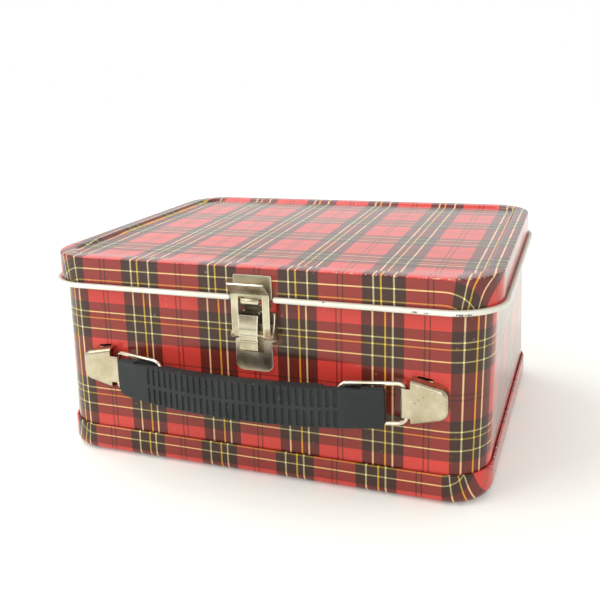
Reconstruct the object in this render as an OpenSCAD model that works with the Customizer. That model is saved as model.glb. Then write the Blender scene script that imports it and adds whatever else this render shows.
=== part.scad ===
// Tin lunch box with a hinged lid, a snap-over latch and a folding carrying handle.
// The box lies on its back pan. X is the width, the latch and handle face -Y, and Z is up.
// The origin is the middle of the base's underside.

/* [Box] */
// Width across the outside of the wrapped wall
body_w = 222; // [190:1:260]
// Depth across the outside of the wrapped wall
body_d = 176; // [150:1:210]
// Height from the base to the top of the lid's rim
box_h = 104.5; // [90:0.5:130]
// Corner radius of the wrapped wall
corner_r = 20; // [16:0.5:28]
// Thickness of the printed tin sheet
sheet = 0.4; // [0.3:0.05:0.6]

/* [Back pan] */
// Height of the pan's wall
pan_h = 14.5; // [11:0.5:20]
// How far the pan's lip stands outside the wrapped wall
pan_out = 1.5; // [1.2:0.1:2.4]
// Radius of the pan's bottom edge
pan_edge_r = 5; // [3:0.5:7]

/* [Lid] */
// Height of the lid from its lower edge to the top of its rim
lid_h = 15.9; // [13:0.1:20]
// Space between the wrapped wall and the inside of the lid's wall
lid_gap = 2.8; // [2.5:0.1:3.5]
// Radius of the lid's top edge
lid_edge_r = 1.5; // [1:0.5:5]
// Width of the raised rim around the lid's panel
rim_w = 7; // [5:0.5:9]
// Depth of the panel below the rim
panel_drop = 1.6; // [0.8:0.1:2.5]
// Width of the slope between rim and panel
panel_slope = 3; // [2:0.5:5]
// Diameter of the rolled edge around the lid
bead_d = 2.8; // [2.2:0.1:3.4]
// Height of the wall's neck inside the lid
neck_h = 7; // [5:0.5:8]
// Diameter of the rolled rim on the neck
neck_roll_d = 2; // [1.6:0.1:2]

/* [Latch] */
// Place of the latch across the front
latch_x = 2.1; // [-10:0.1:10]
// Thickness of the latch's sheet metal
latch_t = 0.8; // [0.6:0.1:1]
// Width of the latch's base plate below its ears
latch_base_w = 19; // [18:0.1:20]
// Distance of the base plate's rounded lower end below the lid's edge
latch_below = 35.2; // [33:0.1:38]
// Height of the base plate
latch_base_h = 29.5; // [27:0.5:32]
// Radius of the base plate's lower corners
latch_base_r = 4; // [2:0.5:5]
// Width of the ridged tongue
tongue_w = 9.6; // [8:0.1:10.4]
// How far the tongue stands out from the wall
tongue_out = 8.2; // [7.8:0.1:10]
// Distance of the hasp's pin below the lid's edge
hasp_pin_below = 16; // [14:0.1:18]
// Diameter of the hasp's pin
hasp_pin_d = 2; // [1.6:0.1:2.4]
// Width of the hasp
hasp_w = 18.6; // [17.6:0.1:20]
// Width of the window between the hasp's arms
hasp_window_w = 11.6; // [11:0.1:12]
// Height of the window's upper edge above the lid's edge
hasp_window_above = 3.4; // [3:0.1:5]
// Radius of the flared thumb lip
lip_r = 3.2; // [2:0.1:5]
// Width of the strike plate on the lid
strike_w = 19.2; // [16:0.1:21]
// How far the strike plate sits to the right of the latch's middle
strike_shift = 1.2; // [-1.5:0.1:1.5]
// Distance of the strike plate's upper edge below the lid's top
strike_drop = 3.5; // [2.5:0.1:6]
// Height of the strike's rolled hook
hook_h = 3.1; // [2.8:0.1:3.4]
// Depth of the strike's rolled hook
hook_deep = 2.4; // [2.2:0.1:2.8]
// Width of the strike's rolled hook
hook_w = 9; // [7:0.1:10]

/* [Handle] */
// Place of the handle across the front
handle_x = 0.9; // [-6:0.1:6]
// Distance of the clips' middle below the lid's edge
handle_below = 39.8; // [38:0.1:44]
// Distance from the handle's middle to each loop's outer bar
bail_x = 74; // [72:0.1:76]
// Distance between a loop's outer and inner bars
bail_l = 30; // [28:0.1:31]
// Height of a loop between its wires' middles
bail_h = 18.6; // [18:0.1:19.6]
// Bend radius of a loop's corners
bail_bend = 4.2; // [3.4:0.1:4.6]
// Diameter of the loops' wire
wire_d = 2.2; // [1.8:0.1:2.4]
// How far the loops' outer bars stand off the wall
bail_out = 3.2; // [3:0.1:3.6]
// Angle that the loops rest at, out from the wall
bail_rest = 13.4; // [12:0.1:15]
// How far the loops hang below the clips' middle
bail_drop = 1.7; // [1.2:0.1:2]
// Length of the grip
grip_l = 134; // [128:0.5:136]
// Height of the grip
grip_h = 18.1; // [17.5:0.1:20]
// Thickness of the grip at its middle
grip_t = 7; // [6:0.1:8]
// How far the grip's front stands off the wall at its middle
grip_out = 21.2; // [20.5:0.1:24]
// How far the grip's front curves back toward its ends
grip_arch = 10.5; // [8:0.1:11]
// How far the grip hangs below the clips' middle
grip_drop = 2.3; // [1.8:0.1:3]
// How far the grip has slipped along its loops
grip_shift = -1.6; // [-2:0.1:2]
// Radius of the grip's end corners
grip_round = 3.5; // [2:0.1:5]
// Length of the smooth ends of the grip
grip_end = 19; // [15:0.5:24]
// Number of grooves in each row of the grip
groove_n = 29; // [18:1:32]
// Depth of the grooves
groove_deep = 0.9; // [0.4:0.1:1.2]
// Height of the plain strip between the two rows of grooves
groove_gap = 1.7; // [1:0.1:4]
// Height of the plain edge below the lower row of grooves
groove_edge = 0.9; // [0.5:0.1:2]
// How much lower the straps are beside the grip's thick middle
strap_dip = 4.7; // [2:0.1:6]
// Height of a clip's shell at its open side
clip_h = 20.4; // [19:0.1:22]
// How much the shell narrows on each edge toward its closed end
clip_taper = 2.4; // [1.5:0.1:3]
// Radius of the shell's closed end corners
clip_round = 5; // [3:0.1:6]
// Length of a clip's shell
clip_l = 16.2; // [14:0.1:19]
// Depth of a clip's shell
clip_deep = 6.3; // [6:0.1:7]
// Thickness of the clips' sheet metal
clip_t = 0.8; // [0.6:0.1:1]
// Height of a clip's nose over the loop's outer bar
nose_h = 12.4; // [10:0.1:12.6]

/* [Hinges] */
// Distance of each hinge from the middle of the back
hinge_x = 55; // [40:1:70]
// Width of each hinge
hinge_w = 30; // [24:1:36]
// Diameter of the hinge pins
hinge_pin_d = 2; // [1.6:0.1:2.2]
// Thickness of the hinge leaves
leaf_t = 0.8; // [0.6:0.1:1]
// Length of the hinge leaf on the wall
leaf_h = 17; // [13:0.5:22]
// Distance of the lid leaf's upper edge below the lid's top
leaf_drop = 3.3; // [2.5:0.1:6]

/* [Fits] */
// Radial clearance of a turning knuckle on its pin
pin_clear = 0.06; // [0.03:0.01:0.1]
// Gap beside parts that turn past each other
side_gap = 0.35; // [0.3:0.05:0.5]
// Gap between the hasp's crossbar and the strike's hook
hook_gap = 0.4; // [0.35:0.05:0.6]

/* [Hidden] */
$fn = 64;
half_x = body_w / 2 - corner_r;
half_y = body_d / 2 - corner_r;
front_y = -body_d / 2;
back_y = body_d / 2;
lid_out = lid_gap + sheet;
lid_edge_z = box_h - lid_h;
bead_r = bead_d / 2;
bead_z = lid_edge_z + bead_r;
bead_mid = lid_out + bead_r * 0.86;
neck_top = lid_edge_z + neck_h;
roll_r = neck_roll_d / 2;
band_foot = pan_edge_r - 0.45 * pan_edge_r;

latch_base_z = lid_edge_z - latch_below;
hasp_pin_z = lid_edge_z - hasp_pin_below;
hasp_window_z = lid_edge_z + hasp_window_above;
pin_r = hasp_pin_d / 2;
pin_head_r = pin_r + 0.5;
pin_head_t = 0.6;
eye_r = pin_r + pin_clear + latch_t;
strike_x = latch_x + strike_shift;
strike_foot = lid_edge_z + 1.4;
strike_top = box_h - max(strike_drop, lid_edge_r + 0.5);
hook_r = hook_deep / 2;
hook_out = lid_out + hook_deep;
hook_z = lid_edge_z - 0.2;
hasp_back = hook_out + hook_gap;
hasp_front = hasp_back + latch_t;
hasp_pin_y = hasp_front - eye_r;
arm_w = (hasp_w - hasp_window_w) / 2;
bar_h = 2.4;
lip_flare = 70;
ear_w = hasp_w + 2 * (side_gap + latch_t);
ear_foot = hasp_pin_z - 3.5;
base_top = latch_base_z + latch_base_h;
tongue_foot = latch_base_z + 5.4;
tongue_knee = latch_base_z + 11.8;
tongue_top = base_top;
ridge_z = tongue_knee + 5.2;
ridge_step = 2.6;
latch_rivet_z = [tongue_knee + 1.2, base_top - 4.5];
bead_gap_left = latch_x - hasp_w / 2 - 0.4;
bead_gap_right = strike_x + strike_w / 2 + 0.6;

handle_z = lid_edge_z - handle_below;
wire_r = wire_d / 2;
bail_z = handle_z - bail_drop;
bail_open = 44;
bail_in_y = bail_out + bail_l * sin(bail_rest);
bail_in_x = bail_x - bail_l * cos(bail_rest);
grip_x = handle_x + grip_shift;
grip_z = handle_z - grip_drop;
grip_half = grip_l / 2;
grip_r = (grip_half * grip_half + grip_arch * grip_arch) / (2 * grip_arch);
bar_room = 1.1;
bar_play = abs(grip_shift) + wire_r + 0.6;
slot_front = bail_in_y + wire_r + bar_room;
slot_back = bail_in_y - wire_r - bar_room;
slot_a = bail_in_x - bar_play;
bend_room = 1;
slot_b = bail_x - bail_l * cos(bail_open) + bar_play + bend_room;
end_back = bail_out + (bail_x - grip_half) * tan(bail_rest) + wire_r + 1.2;
strap_t = 2;
strap_dip_w = 5;
block_back = bail_out + (bail_x - slot_b) * tan(bail_rest) + wire_r + 0.8;
strap_top = bail_z + bail_h / 2 - wire_r - 0.4;
strap_foot = bail_z - bail_h / 2 + wire_r + 0.8;
rib_half = grip_half - grip_end;
groove_step = 2 * rib_half / groove_n;
groove_w = 0.42 * groove_step;
clip_x = bail_x + wire_r + 0.9;
clip_half_in = clip_h / 2;
clip_half_out = clip_half_in - clip_taper;
clip_slope = atan2(clip_taper, clip_l);
nose_z = handle_z - 0.5;
nose_x = bail_x - wire_r - 0.8 - clip_t;
hold_half = bail_h / 2 - bail_bend - 0.6;
tab_x = clip_x + 6.5;
tab_w = 5;
slot_w = 7;

hinge_r = hinge_pin_d / 2;
knuckle_r = hinge_r + pin_clear + leaf_t;
hinge_y = back_y + lid_out + knuckle_r + 0.4;
hinge_z = lid_edge_z;
knuckle_w = (hinge_w - 2 * side_gap) / 3;
lid_leaf_z = hinge_z + knuckle_r + 0.6;
lid_leaf_top = box_h - max(leaf_drop, lid_edge_r + 0.3);
leaf_top = hinge_z - 5.2;
leaf_foot = leaf_top - leaf_h + 1;
rivet_r = 1.1;
rivet_head_r = 1.35;
rivet_head_h = 0.6;
rivet_x = hinge_w / 2 - 4;
lid_rivet_z = lid_leaf_top - 2.1;
body_rivet_z = leaf_foot + 5;

tin_red = [0.72, 0.16, 0.14];
cream = [0.92, 0.9, 0.84];
nickel = [0.72, 0.69, 0.62];
steel = [0.75, 0.74, 0.72];
black = [0.16, 0.17, 0.18];

// Points along an arc from angle a to angle b
function arc(x, y, r, a, b, n) =
  [for (i = [0:n]) [x + r * cos(a + (b - a) * i / n), y + r * sin(a + (b - a) * i / n)]];

function reversed(p) = [for (i = [len(p) - 1:-1:0]) p[i]];

// Runs a half section once round the rounded rectangle. The section's x is the distance from a corner's axis.
module around() {
  for (a = [0, 1])
    for (b = [0, 1])
      mirror([a, 0, 0])
        mirror([0, b, 0])
          translate([half_x, half_y, 0])
            rotate_extrude(angle = 90)
              children();
  for (b = [0, 1])
    mirror([0, b, 0])
      translate([-half_x, half_y, 0])
        rotate([90, 0, 90])
          linear_extrude(height = 2 * half_x)
            children();
  for (a = [0, 1])
    mirror([a, 0, 0])
      translate([half_x, half_y, 0])
        rotate([90, 0, 0])
          linear_extrude(height = 2 * half_y)
            children();
}

// Draws a plan of x and y on the front wall, y outward, and raises it in z
module on_front(x, z) {
  translate([x, front_y, z])
    mirror([0, 1, 0])
      children();
}

// Side section of a front or back fitting: the section's x is the distance out, its y the height
module across(w) {
  translate([-w / 2, 0, 0])
    rotate([90, 0, 90])
      linear_extrude(height = w)
        children();
}

// A straight round bar along x
module bar_x(r, w) {
  rotate([0, 90, 0])
    cylinder(r = r, h = w, center = true);
}

module back_pan() {
  color(tin_red) {
    around()
      polygon(concat(
        [[0, 0]],
        arc(corner_r + pan_out - pan_edge_r, pan_edge_r, pan_edge_r, -90, 0, 6),
        [[corner_r + pan_out, pan_h], [corner_r, pan_h], [corner_r, pan_h - sheet],
          [corner_r + pan_out - sheet, pan_h - sheet]],
        arc(corner_r + pan_out - pan_edge_r, pan_edge_r, pan_edge_r - sheet, 0, -90, 6),
        [[0, sheet]]
      ));
    translate([-half_x, -half_y, 0])
      cube([2 * half_x, 2 * half_y, sheet]);
  }
}

// Slots above and below a clip that its tabs pass through
module clip_slots() {
  for (s = [-1, 1])
    translate([tab_x, 0, s * (clip_half_in - tan(clip_slope) * (tab_x - clip_x) + 0.25)])
      rotate([0, s * clip_slope, 0])
        cube([slot_w, 6, 2.1], center = true);
}

module body_band() {
  color(tin_red)
    difference() {
      around()
        translate([corner_r - sheet, band_foot])
          square([sheet, neck_top - band_foot]);
      for (m = [0, 1])
        translate([handle_x, front_y, handle_z])
          mirror([m, 0, 0])
            clip_slots();
      for (z = latch_rivet_z)
        translate([latch_x, front_y, z])
          rotate([90, 0, 0])
            cylinder(r = rivet_r, h = 6, center = true);
      for (m = [-1, 1])
        for (s = [-1, 1])
          translate([m * hinge_x + s * rivet_x, back_y, body_rivet_z])
            rotate([90, 0, 0])
              cylinder(r = rivet_r, h = 6, center = true);
    }
}

module body_rim() {
  color(cream)
    around()
      polygon(concat(
        [[corner_r, neck_top - neck_roll_d]],
        arc(corner_r + roll_r * 0.86, neck_top - roll_r, roll_r, -90, 90, 8),
        [[corner_r, neck_top]]
      ));
}

module lid_pan() {
  color(tin_red)
    difference() {
      union() {
        around()
          polygon(concat(
            [[corner_r + lid_out, lid_edge_z]],
            arc(corner_r + lid_out - lid_edge_r, box_h - lid_edge_r, lid_edge_r, 0, 90, 5),
            [[corner_r + lid_out - rim_w, box_h],
              [corner_r + lid_out - rim_w - panel_slope, box_h - panel_drop],
              [0, box_h - panel_drop],
              [0, box_h - panel_drop - sheet],
              [corner_r + lid_out - rim_w - panel_slope - 0.3 * sheet, box_h - panel_drop - sheet],
              [corner_r + lid_out - rim_w - 0.3 * sheet, box_h - sheet]],
            arc(corner_r + lid_out - lid_edge_r, box_h - lid_edge_r, lid_edge_r - sheet, 90, 0, 5),
            [[corner_r + lid_out - sheet, lid_edge_z]]
          ));
        translate([-half_x, -half_y, box_h - panel_drop - sheet])
          cube([2 * half_x, 2 * half_y, sheet]);
      }
      for (m = [-1, 1])
        for (s = [-1, 1])
          translate([m * hinge_x + s * rivet_x, back_y + lid_out, lid_rivet_z])
            rotate([90, 0, 0])
              cylinder(r = rivet_r, h = 4, center = true);
    }
}

module lid_bead() {
  color(cream)
    difference() {
      around()
        polygon(concat(
          [[corner_r + lid_out, bead_z - bead_r * 0.5]],
          arc(corner_r + bead_mid, bead_z, bead_r, -149, 149, 12),
          [[corner_r + lid_out, bead_z + bead_r * 0.5]]
        ));
      translate([bead_gap_left, front_y - corner_r, bead_z - bead_d])
        cube([bead_gap_right - bead_gap_left, corner_r, 2 * bead_d]);
      for (m = [-1, 1])
        translate([m * hinge_x, back_y, bead_z])
          cube([hinge_w + 3, 2 * corner_r, 2 * bead_d], center = true);
    }
}

// Outline of the strike's rolled hook: a loop with round ends
module hook_outline(deep, h) {
  polygon(concat(
    arc(0, (h - deep) / 2, deep / 2, 0, 180, 8),
    arc(0, (deep - h) / 2, deep / 2, 180, 360, 8)
  ));
}

module latch_strike() {
  color(nickel)
    on_front(0, 0)
      difference() {
        union() {
          translate([strike_x, 0, 0])
            across(strike_w)
              translate([lid_out, strike_foot])
                square([latch_t, strike_top - strike_foot]);
          translate([latch_x, 0, 0])
            across(hook_w) {
              translate([lid_out, hook_z])
                square([latch_t, strike_foot - hook_z + 1]);
              translate([lid_out + hook_r, hook_z])
                hook_outline(hook_deep, hook_h);
            }
        }
        translate([latch_x, 0, 0])
          across(hook_w + 2)
            translate([lid_out + hook_r, hook_z])
              hook_outline(hook_deep - 2 * latch_t - 0.1, hook_h - 2 * latch_t - 0.1);
      }
}

// Outline of the base plate: round lower corners, wider where its ears turn out
module base_outline() {
  r = latch_base_r;
  half = latch_base_w / 2;
  ear_y = ear_foot - latch_base_z;
  polygon(concat(
    arc(-half + r, r, r, 180, 270, 6),
    arc(half - r, r, r, 270, 360, 6),
    [[half, ear_y - 1], [ear_w / 2, ear_y], [ear_w / 2, latch_base_h],
      [-ear_w / 2, latch_base_h], [-ear_w / 2, ear_y], [-half, ear_y - 1]]
  ));
}

module latch_base() {
  color(nickel)
    on_front(latch_x, 0)
      difference() {
        union() {
          translate([0, latch_t, latch_base_z])
            rotate([90, 0, 0])
              linear_extrude(height = latch_t)
                base_outline();
          for (s = [-1, 1])
            translate([s * (ear_w - latch_t) / 2, 0, 0])
              across(latch_t)
                union() {
                  polygon([[0, ear_foot], [latch_t + 0.8, ear_foot + 0.5],
                    [hasp_pin_y + 0.4, hasp_pin_z - 1.7], [hasp_pin_y + 0.4, hasp_pin_z + 1.7],
                    [3, base_top - 3.5], [2.4, base_top], [0, base_top]]);
                  translate([hasp_pin_y, hasp_pin_z])
                    circle(r = pin_r + 0.75);
                }
        }
        translate([0, hasp_pin_y, hasp_pin_z])
          bar_x(pin_r, ear_w + 4);
        for (z = latch_rivet_z)
          translate([0, 0, z])
            rotate([90, 0, 0])
              cylinder(r = rivet_r, h = 6, center = true);
      }
}

module latch_tongue() {
  color(nickel)
    on_front(latch_x, 0) {
      difference() {
        across(tongue_w)
          polygon([[latch_t, tongue_foot], [tongue_out - 0.5, tongue_knee - 0.3], [tongue_out, tongue_knee],
            [tongue_out, tongue_top], [latch_t, tongue_top]]);
        across(tongue_w - 2 * latch_t)
          polygon([[0, tongue_foot + 1.2], [tongue_out - latch_t - 0.3, tongue_knee + 0.2],
            [tongue_out - latch_t, tongue_knee + 0.5], [tongue_out - latch_t, tongue_top + 2],
            [0, tongue_top + 2]]);
        translate([0, hasp_pin_y, hasp_pin_z])
          bar_x(pin_r + side_gap, tongue_w + 2);
      }
      for (i = [0:2])
        across(tongue_w - 1.2)
          translate([tongue_out - 0.1, ridge_z + i * ridge_step])
            polygon([[0, -0.6], [0.55, 0], [0, 0.6]]);
    }
}

module latch_pin() {
  color(steel)
    on_front(latch_x, 0)
      translate([0, hasp_pin_y, hasp_pin_z]) {
        bar_x(pin_r, ear_w + pin_head_t);
        for (s = [-1, 1])
          translate([s * (ear_w + pin_head_t) / 2, 0, 0])
            bar_x(pin_head_r, pin_head_t);
      }
}

// A rivet through a wall at y = 0: outer head on top of a leaf, inner head inside the wall
module rivet(leaf, wall) {
  rotate([90, 0, 0]) {
    translate([0, 0, -wall])
      cylinder(r = rivet_r, h = wall + leaf);
    translate([0, 0, leaf])
      cylinder(r1 = rivet_head_r + 0.35, r2 = rivet_head_r - 0.2, h = rivet_head_h);
    translate([0, 0, -wall - rivet_head_h])
      cylinder(r = rivet_head_r, h = rivet_head_h);
  }
}

module latch_rivets() {
  color(steel)
    for (z = latch_rivet_z)
      translate([latch_x, front_y, z])
        rivet(latch_t, sheet);
}

module latch_hasp() {
  color(nickel)
    on_front(latch_x, 0) {
      // crossbar and flared lip
      across(hasp_w)
        polygon(concat(
          [[hasp_front, hasp_window_z], [hasp_front, hasp_window_z + bar_h]],
          arc(hasp_front + lip_r, hasp_window_z + bar_h, lip_r, 180, 180 - lip_flare, 6),
          arc(hasp_front + lip_r, hasp_window_z + bar_h, lip_r + latch_t, 180 - lip_flare, 180, 6),
          [[hasp_back, hasp_window_z]]
        ));
      // arms with their eyes on the pin
      for (s = [-1, 1])
        translate([s * (hasp_window_w + arm_w) / 2, 0, 0])
          difference() {
            union() {
              across(arm_w)
                translate([hasp_back, hasp_pin_z])
                  square([latch_t, hasp_window_z + 1 - hasp_pin_z]);
              translate([0, hasp_pin_y, hasp_pin_z])
                bar_x(eye_r + 0.05, arm_w);
            }
            translate([0, hasp_pin_y, hasp_pin_z])
              bar_x(pin_r + pin_clear, hasp_w);
          }
    }
}

// Front outline of a clip's shell, shrunk by d, reaching e past its open side
function clip_outline(d, e) = concat(
  [[clip_x - e, -clip_half_in + d]],
  arc(clip_x + clip_l - clip_round, -clip_half_out + clip_round, clip_round - d, -90 + clip_slope, 0, 6),
  arc(clip_x + clip_l - clip_round, clip_half_out - clip_round, clip_round - d, 0, 90 - clip_slope, 6),
  [[clip_x - e, clip_half_in - d]]
);

module handle_clip() {
  color(nickel)
    translate([0, front_y, handle_z]) {
      difference() {
        rotate([90, 0, 0])
          linear_extrude(height = clip_deep)
            polygon(clip_outline(0, 0));
        translate([0, clip_t, 0])
          rotate([90, 0, 0])
            linear_extrude(height = clip_deep)
              polygon(clip_outline(clip_t, 3));
      }
      // narrow nose over the loop's outer bar, and the lip that holds the bar
      translate([nose_x, -clip_deep, nose_z - handle_z - nose_h / 2])
        cube([clip_x + 2 - nose_x, clip_t, nose_h]);
      translate([nose_x, -clip_deep, bail_z - handle_z - hold_half])
        cube([clip_t, clip_deep - bail_out + wire_r + 0.4, 2 * hold_half]);
      // tabs through the wall, turned over inside
      for (s = [-1, 1])
        translate([tab_x, 0, s * (clip_half_in - tan(clip_slope) * (tab_x - clip_x) - clip_t * 0.55)])
          rotate([0, s * clip_slope, 0]) {
            translate([0, 0.5 * sheet, 0])
              cube([tab_w, sheet + 1.2, clip_t * 0.7], center = true);
            translate([0, sheet + 0.35, s * 1.9])
              cube([tab_w, 0.6, 4.4], center = true);
          }
    }
}

module handle_clip_left() {
  translate([handle_x, 0, 0])
    mirror([1, 0, 0])
      handle_clip();
}

module handle_clip_right() {
  translate([handle_x, 0, 0])
    handle_clip();
}

// One straight length of the loop's wire
module wire(l) {
  cylinder(r = wire_r, h = l);
}

// One corner of the loop's wire
module wire_bend() {
  rotate([90, 0, 0])
    rotate_extrude(angle = 90)
      translate([bail_bend, 0])
        circle(r = wire_r);
}

// Wire loop in its resting pose, hung on its outer bar
module handle_bail() {
  side = bail_h / 2 - bail_bend;
  color(steel)
    translate([bail_x, front_y - bail_out, bail_z])
      rotate([0, 0, bail_rest])
        for (m = [0, 1])
          mirror([0, 0, m]) {
            wire(side);
            translate([-bail_l, 0, 0])
              wire(side);
            translate([-bail_bend, 0, bail_h / 2])
              rotate([0, -90, 0])
                wire(bail_l - 2 * bail_bend);
            translate([-bail_bend, 0, side])
              wire_bend();
            translate([-bail_l + bail_bend, 0, side])
              mirror([1, 0, 0])
                wire_bend();
          }
}

module handle_bail_left() {
  translate([handle_x, 0, 0])
    mirror([1, 0, 0])
      handle_bail();
}

module handle_bail_right() {
  translate([handle_x, 0, 0])
    handle_bail();
}

// Distance of the grip's arched front from the wall
function grip_front(x) = grip_out - grip_r + sqrt(grip_r * grip_r - x * x);

// Plan of the grip: arched front, thick ribbed middle, thin ends in front of the loops
module grip_plan() {
  polygon(concat(
    [for (i = [-16:16]) [grip_half * i / 16, grip_front(grip_half * i / 16)]],
    [[grip_half, end_back], [slot_b + 0.5, block_back], [slot_b + 0.4, slot_front], [slot_a, slot_front]],
    [for (i = [12:-1:-12]) [slot_a * i / 12, grip_front(slot_a * i / 12) - grip_t]],
    [[-slot_a, slot_front], [-slot_b - 0.4, slot_front], [-slot_b - 0.5, block_back], [-grip_half, end_back]]
  ));
}

// Front outline of the grip
module grip_face() {
  x = grip_half - grip_round;
  y = grip_h / 2 - grip_round;
  polygon(concat(
    arc(x, y, grip_round, 0, 90, 4),
    arc(-x, y, grip_round, 90, 180, 4),
    arc(-x, -y, grip_round, 180, 270, 4),
    arc(x, -y, grip_round, 270, 360, 4)
  ));
}

// One groove in each row, square to the arched front at x. The upper one runs out over the top edge
module groove_pair(x) {
  low_h = (grip_h - groove_gap) / 2 - groove_edge;
  translate([x, grip_front(x) - groove_deep, 0])
    rotate([0, 0, -asin(x / grip_r)])
      translate([-groove_w / 2, 0, 0]) {
        translate([0, 0, groove_gap / 2])
          cube([groove_w, 6, grip_h / 2]);
        translate([0, 0, -groove_gap / 2 - low_h])
          cube([groove_w, 6, low_h]);
      }
}

// Strap that closes a slot behind the loop's inner bar
module grip_strap() {
  strap_h = strap_top - strap_foot;
  translate([0, 0, strap_foot - grip_z])
    difference() {
      translate([slot_a - strap_t, slot_back - strap_t, 0])
        cube([slot_b - slot_a + 2 * strap_t, slot_front - slot_back + strap_t + 0.3, strap_h]);
      translate([slot_a, slot_back, -1])
        cube([slot_b - slot_a, slot_front - slot_back + 1, strap_h + 2]);
      translate([slot_a - strap_t - 1, slot_back - strap_t - 1, strap_h - strap_dip])
        cube([strap_t + 1 + strap_dip_w, slot_front - slot_back + strap_t + 3, strap_dip + 1]);
    }
}

module handle_grip() {
  color(black)
    on_front(grip_x, grip_z) {
      difference() {
        intersection() {
          translate([0, 0, -grip_h / 2])
            linear_extrude(height = grip_h)
              grip_plan();
          translate([0, 2 * grip_out, 0])
            rotate([90, 0, 0])
              linear_extrude(height = 3 * grip_out)
                grip_face();
        }
        for (i = [0:groove_n - 1])
          groove_pair(-rib_half + (i + 0.5) * groove_step);
      }
      for (m = [0, 1])
        mirror([m, 0, 0])
          grip_strap();
    }
}

// Leaf on the wall with the two outer knuckles
module hinge_body_leaf() {
  color(nickel)
    translate([hinge_x, back_y, 0])
      difference() {
        union() {
          across(hinge_w)
            polygon([[0, leaf_foot], [leaf_t, leaf_foot], [leaf_t, leaf_top],
              [hinge_y - back_y - 0.6, hinge_z - knuckle_r + 0.25],
              [hinge_y - back_y - 1.3, hinge_z - knuckle_r + 1], [0, leaf_top + 0.7]]);
          translate([0, hinge_y - back_y, hinge_z])
            bar_x(knuckle_r, hinge_w);
        }
        translate([0, hinge_y - back_y, hinge_z])
          bar_x(hinge_r, hinge_w + 2);
        translate([0, hinge_y - back_y, hinge_z])
          bar_x(knuckle_r + 1.2, knuckle_w + 2 * side_gap);
        for (s = [-1, 1])
          translate([s * rivet_x, 0, body_rivet_z])
            rotate([90, 0, 0])
              cylinder(r = rivet_r, h = 6, center = true);
      }
}

// Leaf on the lid with the middle knuckle
module hinge_lid_leaf() {
  color(nickel)
    translate([hinge_x, back_y, 0])
      difference() {
        union() {
          across(hinge_w)
            translate([lid_out, lid_leaf_z])
              square([leaf_t, lid_leaf_top - lid_leaf_z]);
          across(knuckle_w)
            translate([lid_out, hinge_z])
              square([leaf_t + 0.2, lid_leaf_z - hinge_z + 0.4]);
          translate([0, hinge_y - back_y, hinge_z])
            bar_x(knuckle_r, knuckle_w);
        }
        translate([0, hinge_y - back_y, hinge_z])
          bar_x(hinge_r + pin_clear, knuckle_w + 2);
        for (s = [-1, 1])
          translate([s * rivet_x, lid_out, lid_rivet_z])
            rotate([90, 0, 0])
              cylinder(r = rivet_r, h = 6, center = true);
      }
}

module hinge_pin() {
  color(steel)
    translate([hinge_x, hinge_y, hinge_z]) {
      bar_x(hinge_r, hinge_w + 0.4);
      for (s = [-1, 1])
        translate([s * (hinge_w / 2 + 0.3), 0, 0])
          bar_x(hinge_r + 0.5, 0.6);
    }
}

module hinge_body_leaf_left() {
  mirror([1, 0, 0])
    hinge_body_leaf();
}

module hinge_body_leaf_right() {
  hinge_body_leaf();
}

module hinge_lid_leaf_left() {
  mirror([1, 0, 0])
    hinge_lid_leaf();
}

module hinge_lid_leaf_right() {
  hinge_lid_leaf();
}

module hinge_pin_left() {
  mirror([1, 0, 0])
    hinge_pin();
}

module hinge_pin_right() {
  hinge_pin();
}

module hinge_rivets_body() {
  color(steel)
    for (m = [-1, 1])
      for (s = [-1, 1])
        translate([m * hinge_x + s * rivet_x, back_y, body_rivet_z])
          rotate([0, 0, 180])
            rivet(leaf_t, sheet);
}

module hinge_rivets_lid() {
  color(steel)
    for (m = [-1, 1])
      for (s = [-1, 1])
        translate([m * hinge_x + s * rivet_x, back_y + lid_out, lid_rivet_z])
          rotate([0, 0, 180])
            rivet(leaf_t, sheet);
}

back_pan();
body_band();
body_rim();
lid_pan();
lid_bead();
latch_strike();
latch_base();
latch_tongue();
latch_pin();
latch_rivets();
latch_hasp();
handle_clip_left();
handle_clip_right();
handle_bail_left();
handle_bail_right();
handle_grip();
hinge_body_leaf_left();
hinge_body_leaf_right();
hinge_lid_leaf_left();
hinge_lid_leaf_right();
hinge_pin_left();
hinge_pin_right();
hinge_rivets_body();
hinge_rivets_lid();
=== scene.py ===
# %% [markdown]
# # A tartan tin lunch box
# The real box is thin printed tinplate: a wall wrapped into a rounded rectangle, a pressed pan closing it
# below, and a pressed lid with a rolled edge. A nickel latch and a black plastic handle sit on the front.
# The measured solids come in as a frame, and this lesson dresses them piece by piece. Lengths are written
# in millimetres, as for sheet metal, and become metres when a piece is placed.

# %% Load the frame
import math
import bpy
import bmesh
from mathutils import Matrix, Vector, noise


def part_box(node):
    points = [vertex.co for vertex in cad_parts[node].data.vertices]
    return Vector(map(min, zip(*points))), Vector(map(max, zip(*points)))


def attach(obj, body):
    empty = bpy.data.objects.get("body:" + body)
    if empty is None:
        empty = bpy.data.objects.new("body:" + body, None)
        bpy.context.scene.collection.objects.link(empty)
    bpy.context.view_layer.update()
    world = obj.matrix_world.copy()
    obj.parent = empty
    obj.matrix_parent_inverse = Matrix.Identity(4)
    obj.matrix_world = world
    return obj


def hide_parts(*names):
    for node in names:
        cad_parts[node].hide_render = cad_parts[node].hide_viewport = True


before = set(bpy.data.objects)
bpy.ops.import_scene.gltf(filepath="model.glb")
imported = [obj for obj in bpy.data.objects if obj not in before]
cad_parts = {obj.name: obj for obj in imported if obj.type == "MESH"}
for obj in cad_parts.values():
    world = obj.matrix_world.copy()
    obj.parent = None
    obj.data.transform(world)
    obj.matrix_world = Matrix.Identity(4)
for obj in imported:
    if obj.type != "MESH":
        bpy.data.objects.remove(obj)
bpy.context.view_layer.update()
MM = 0.001


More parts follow.
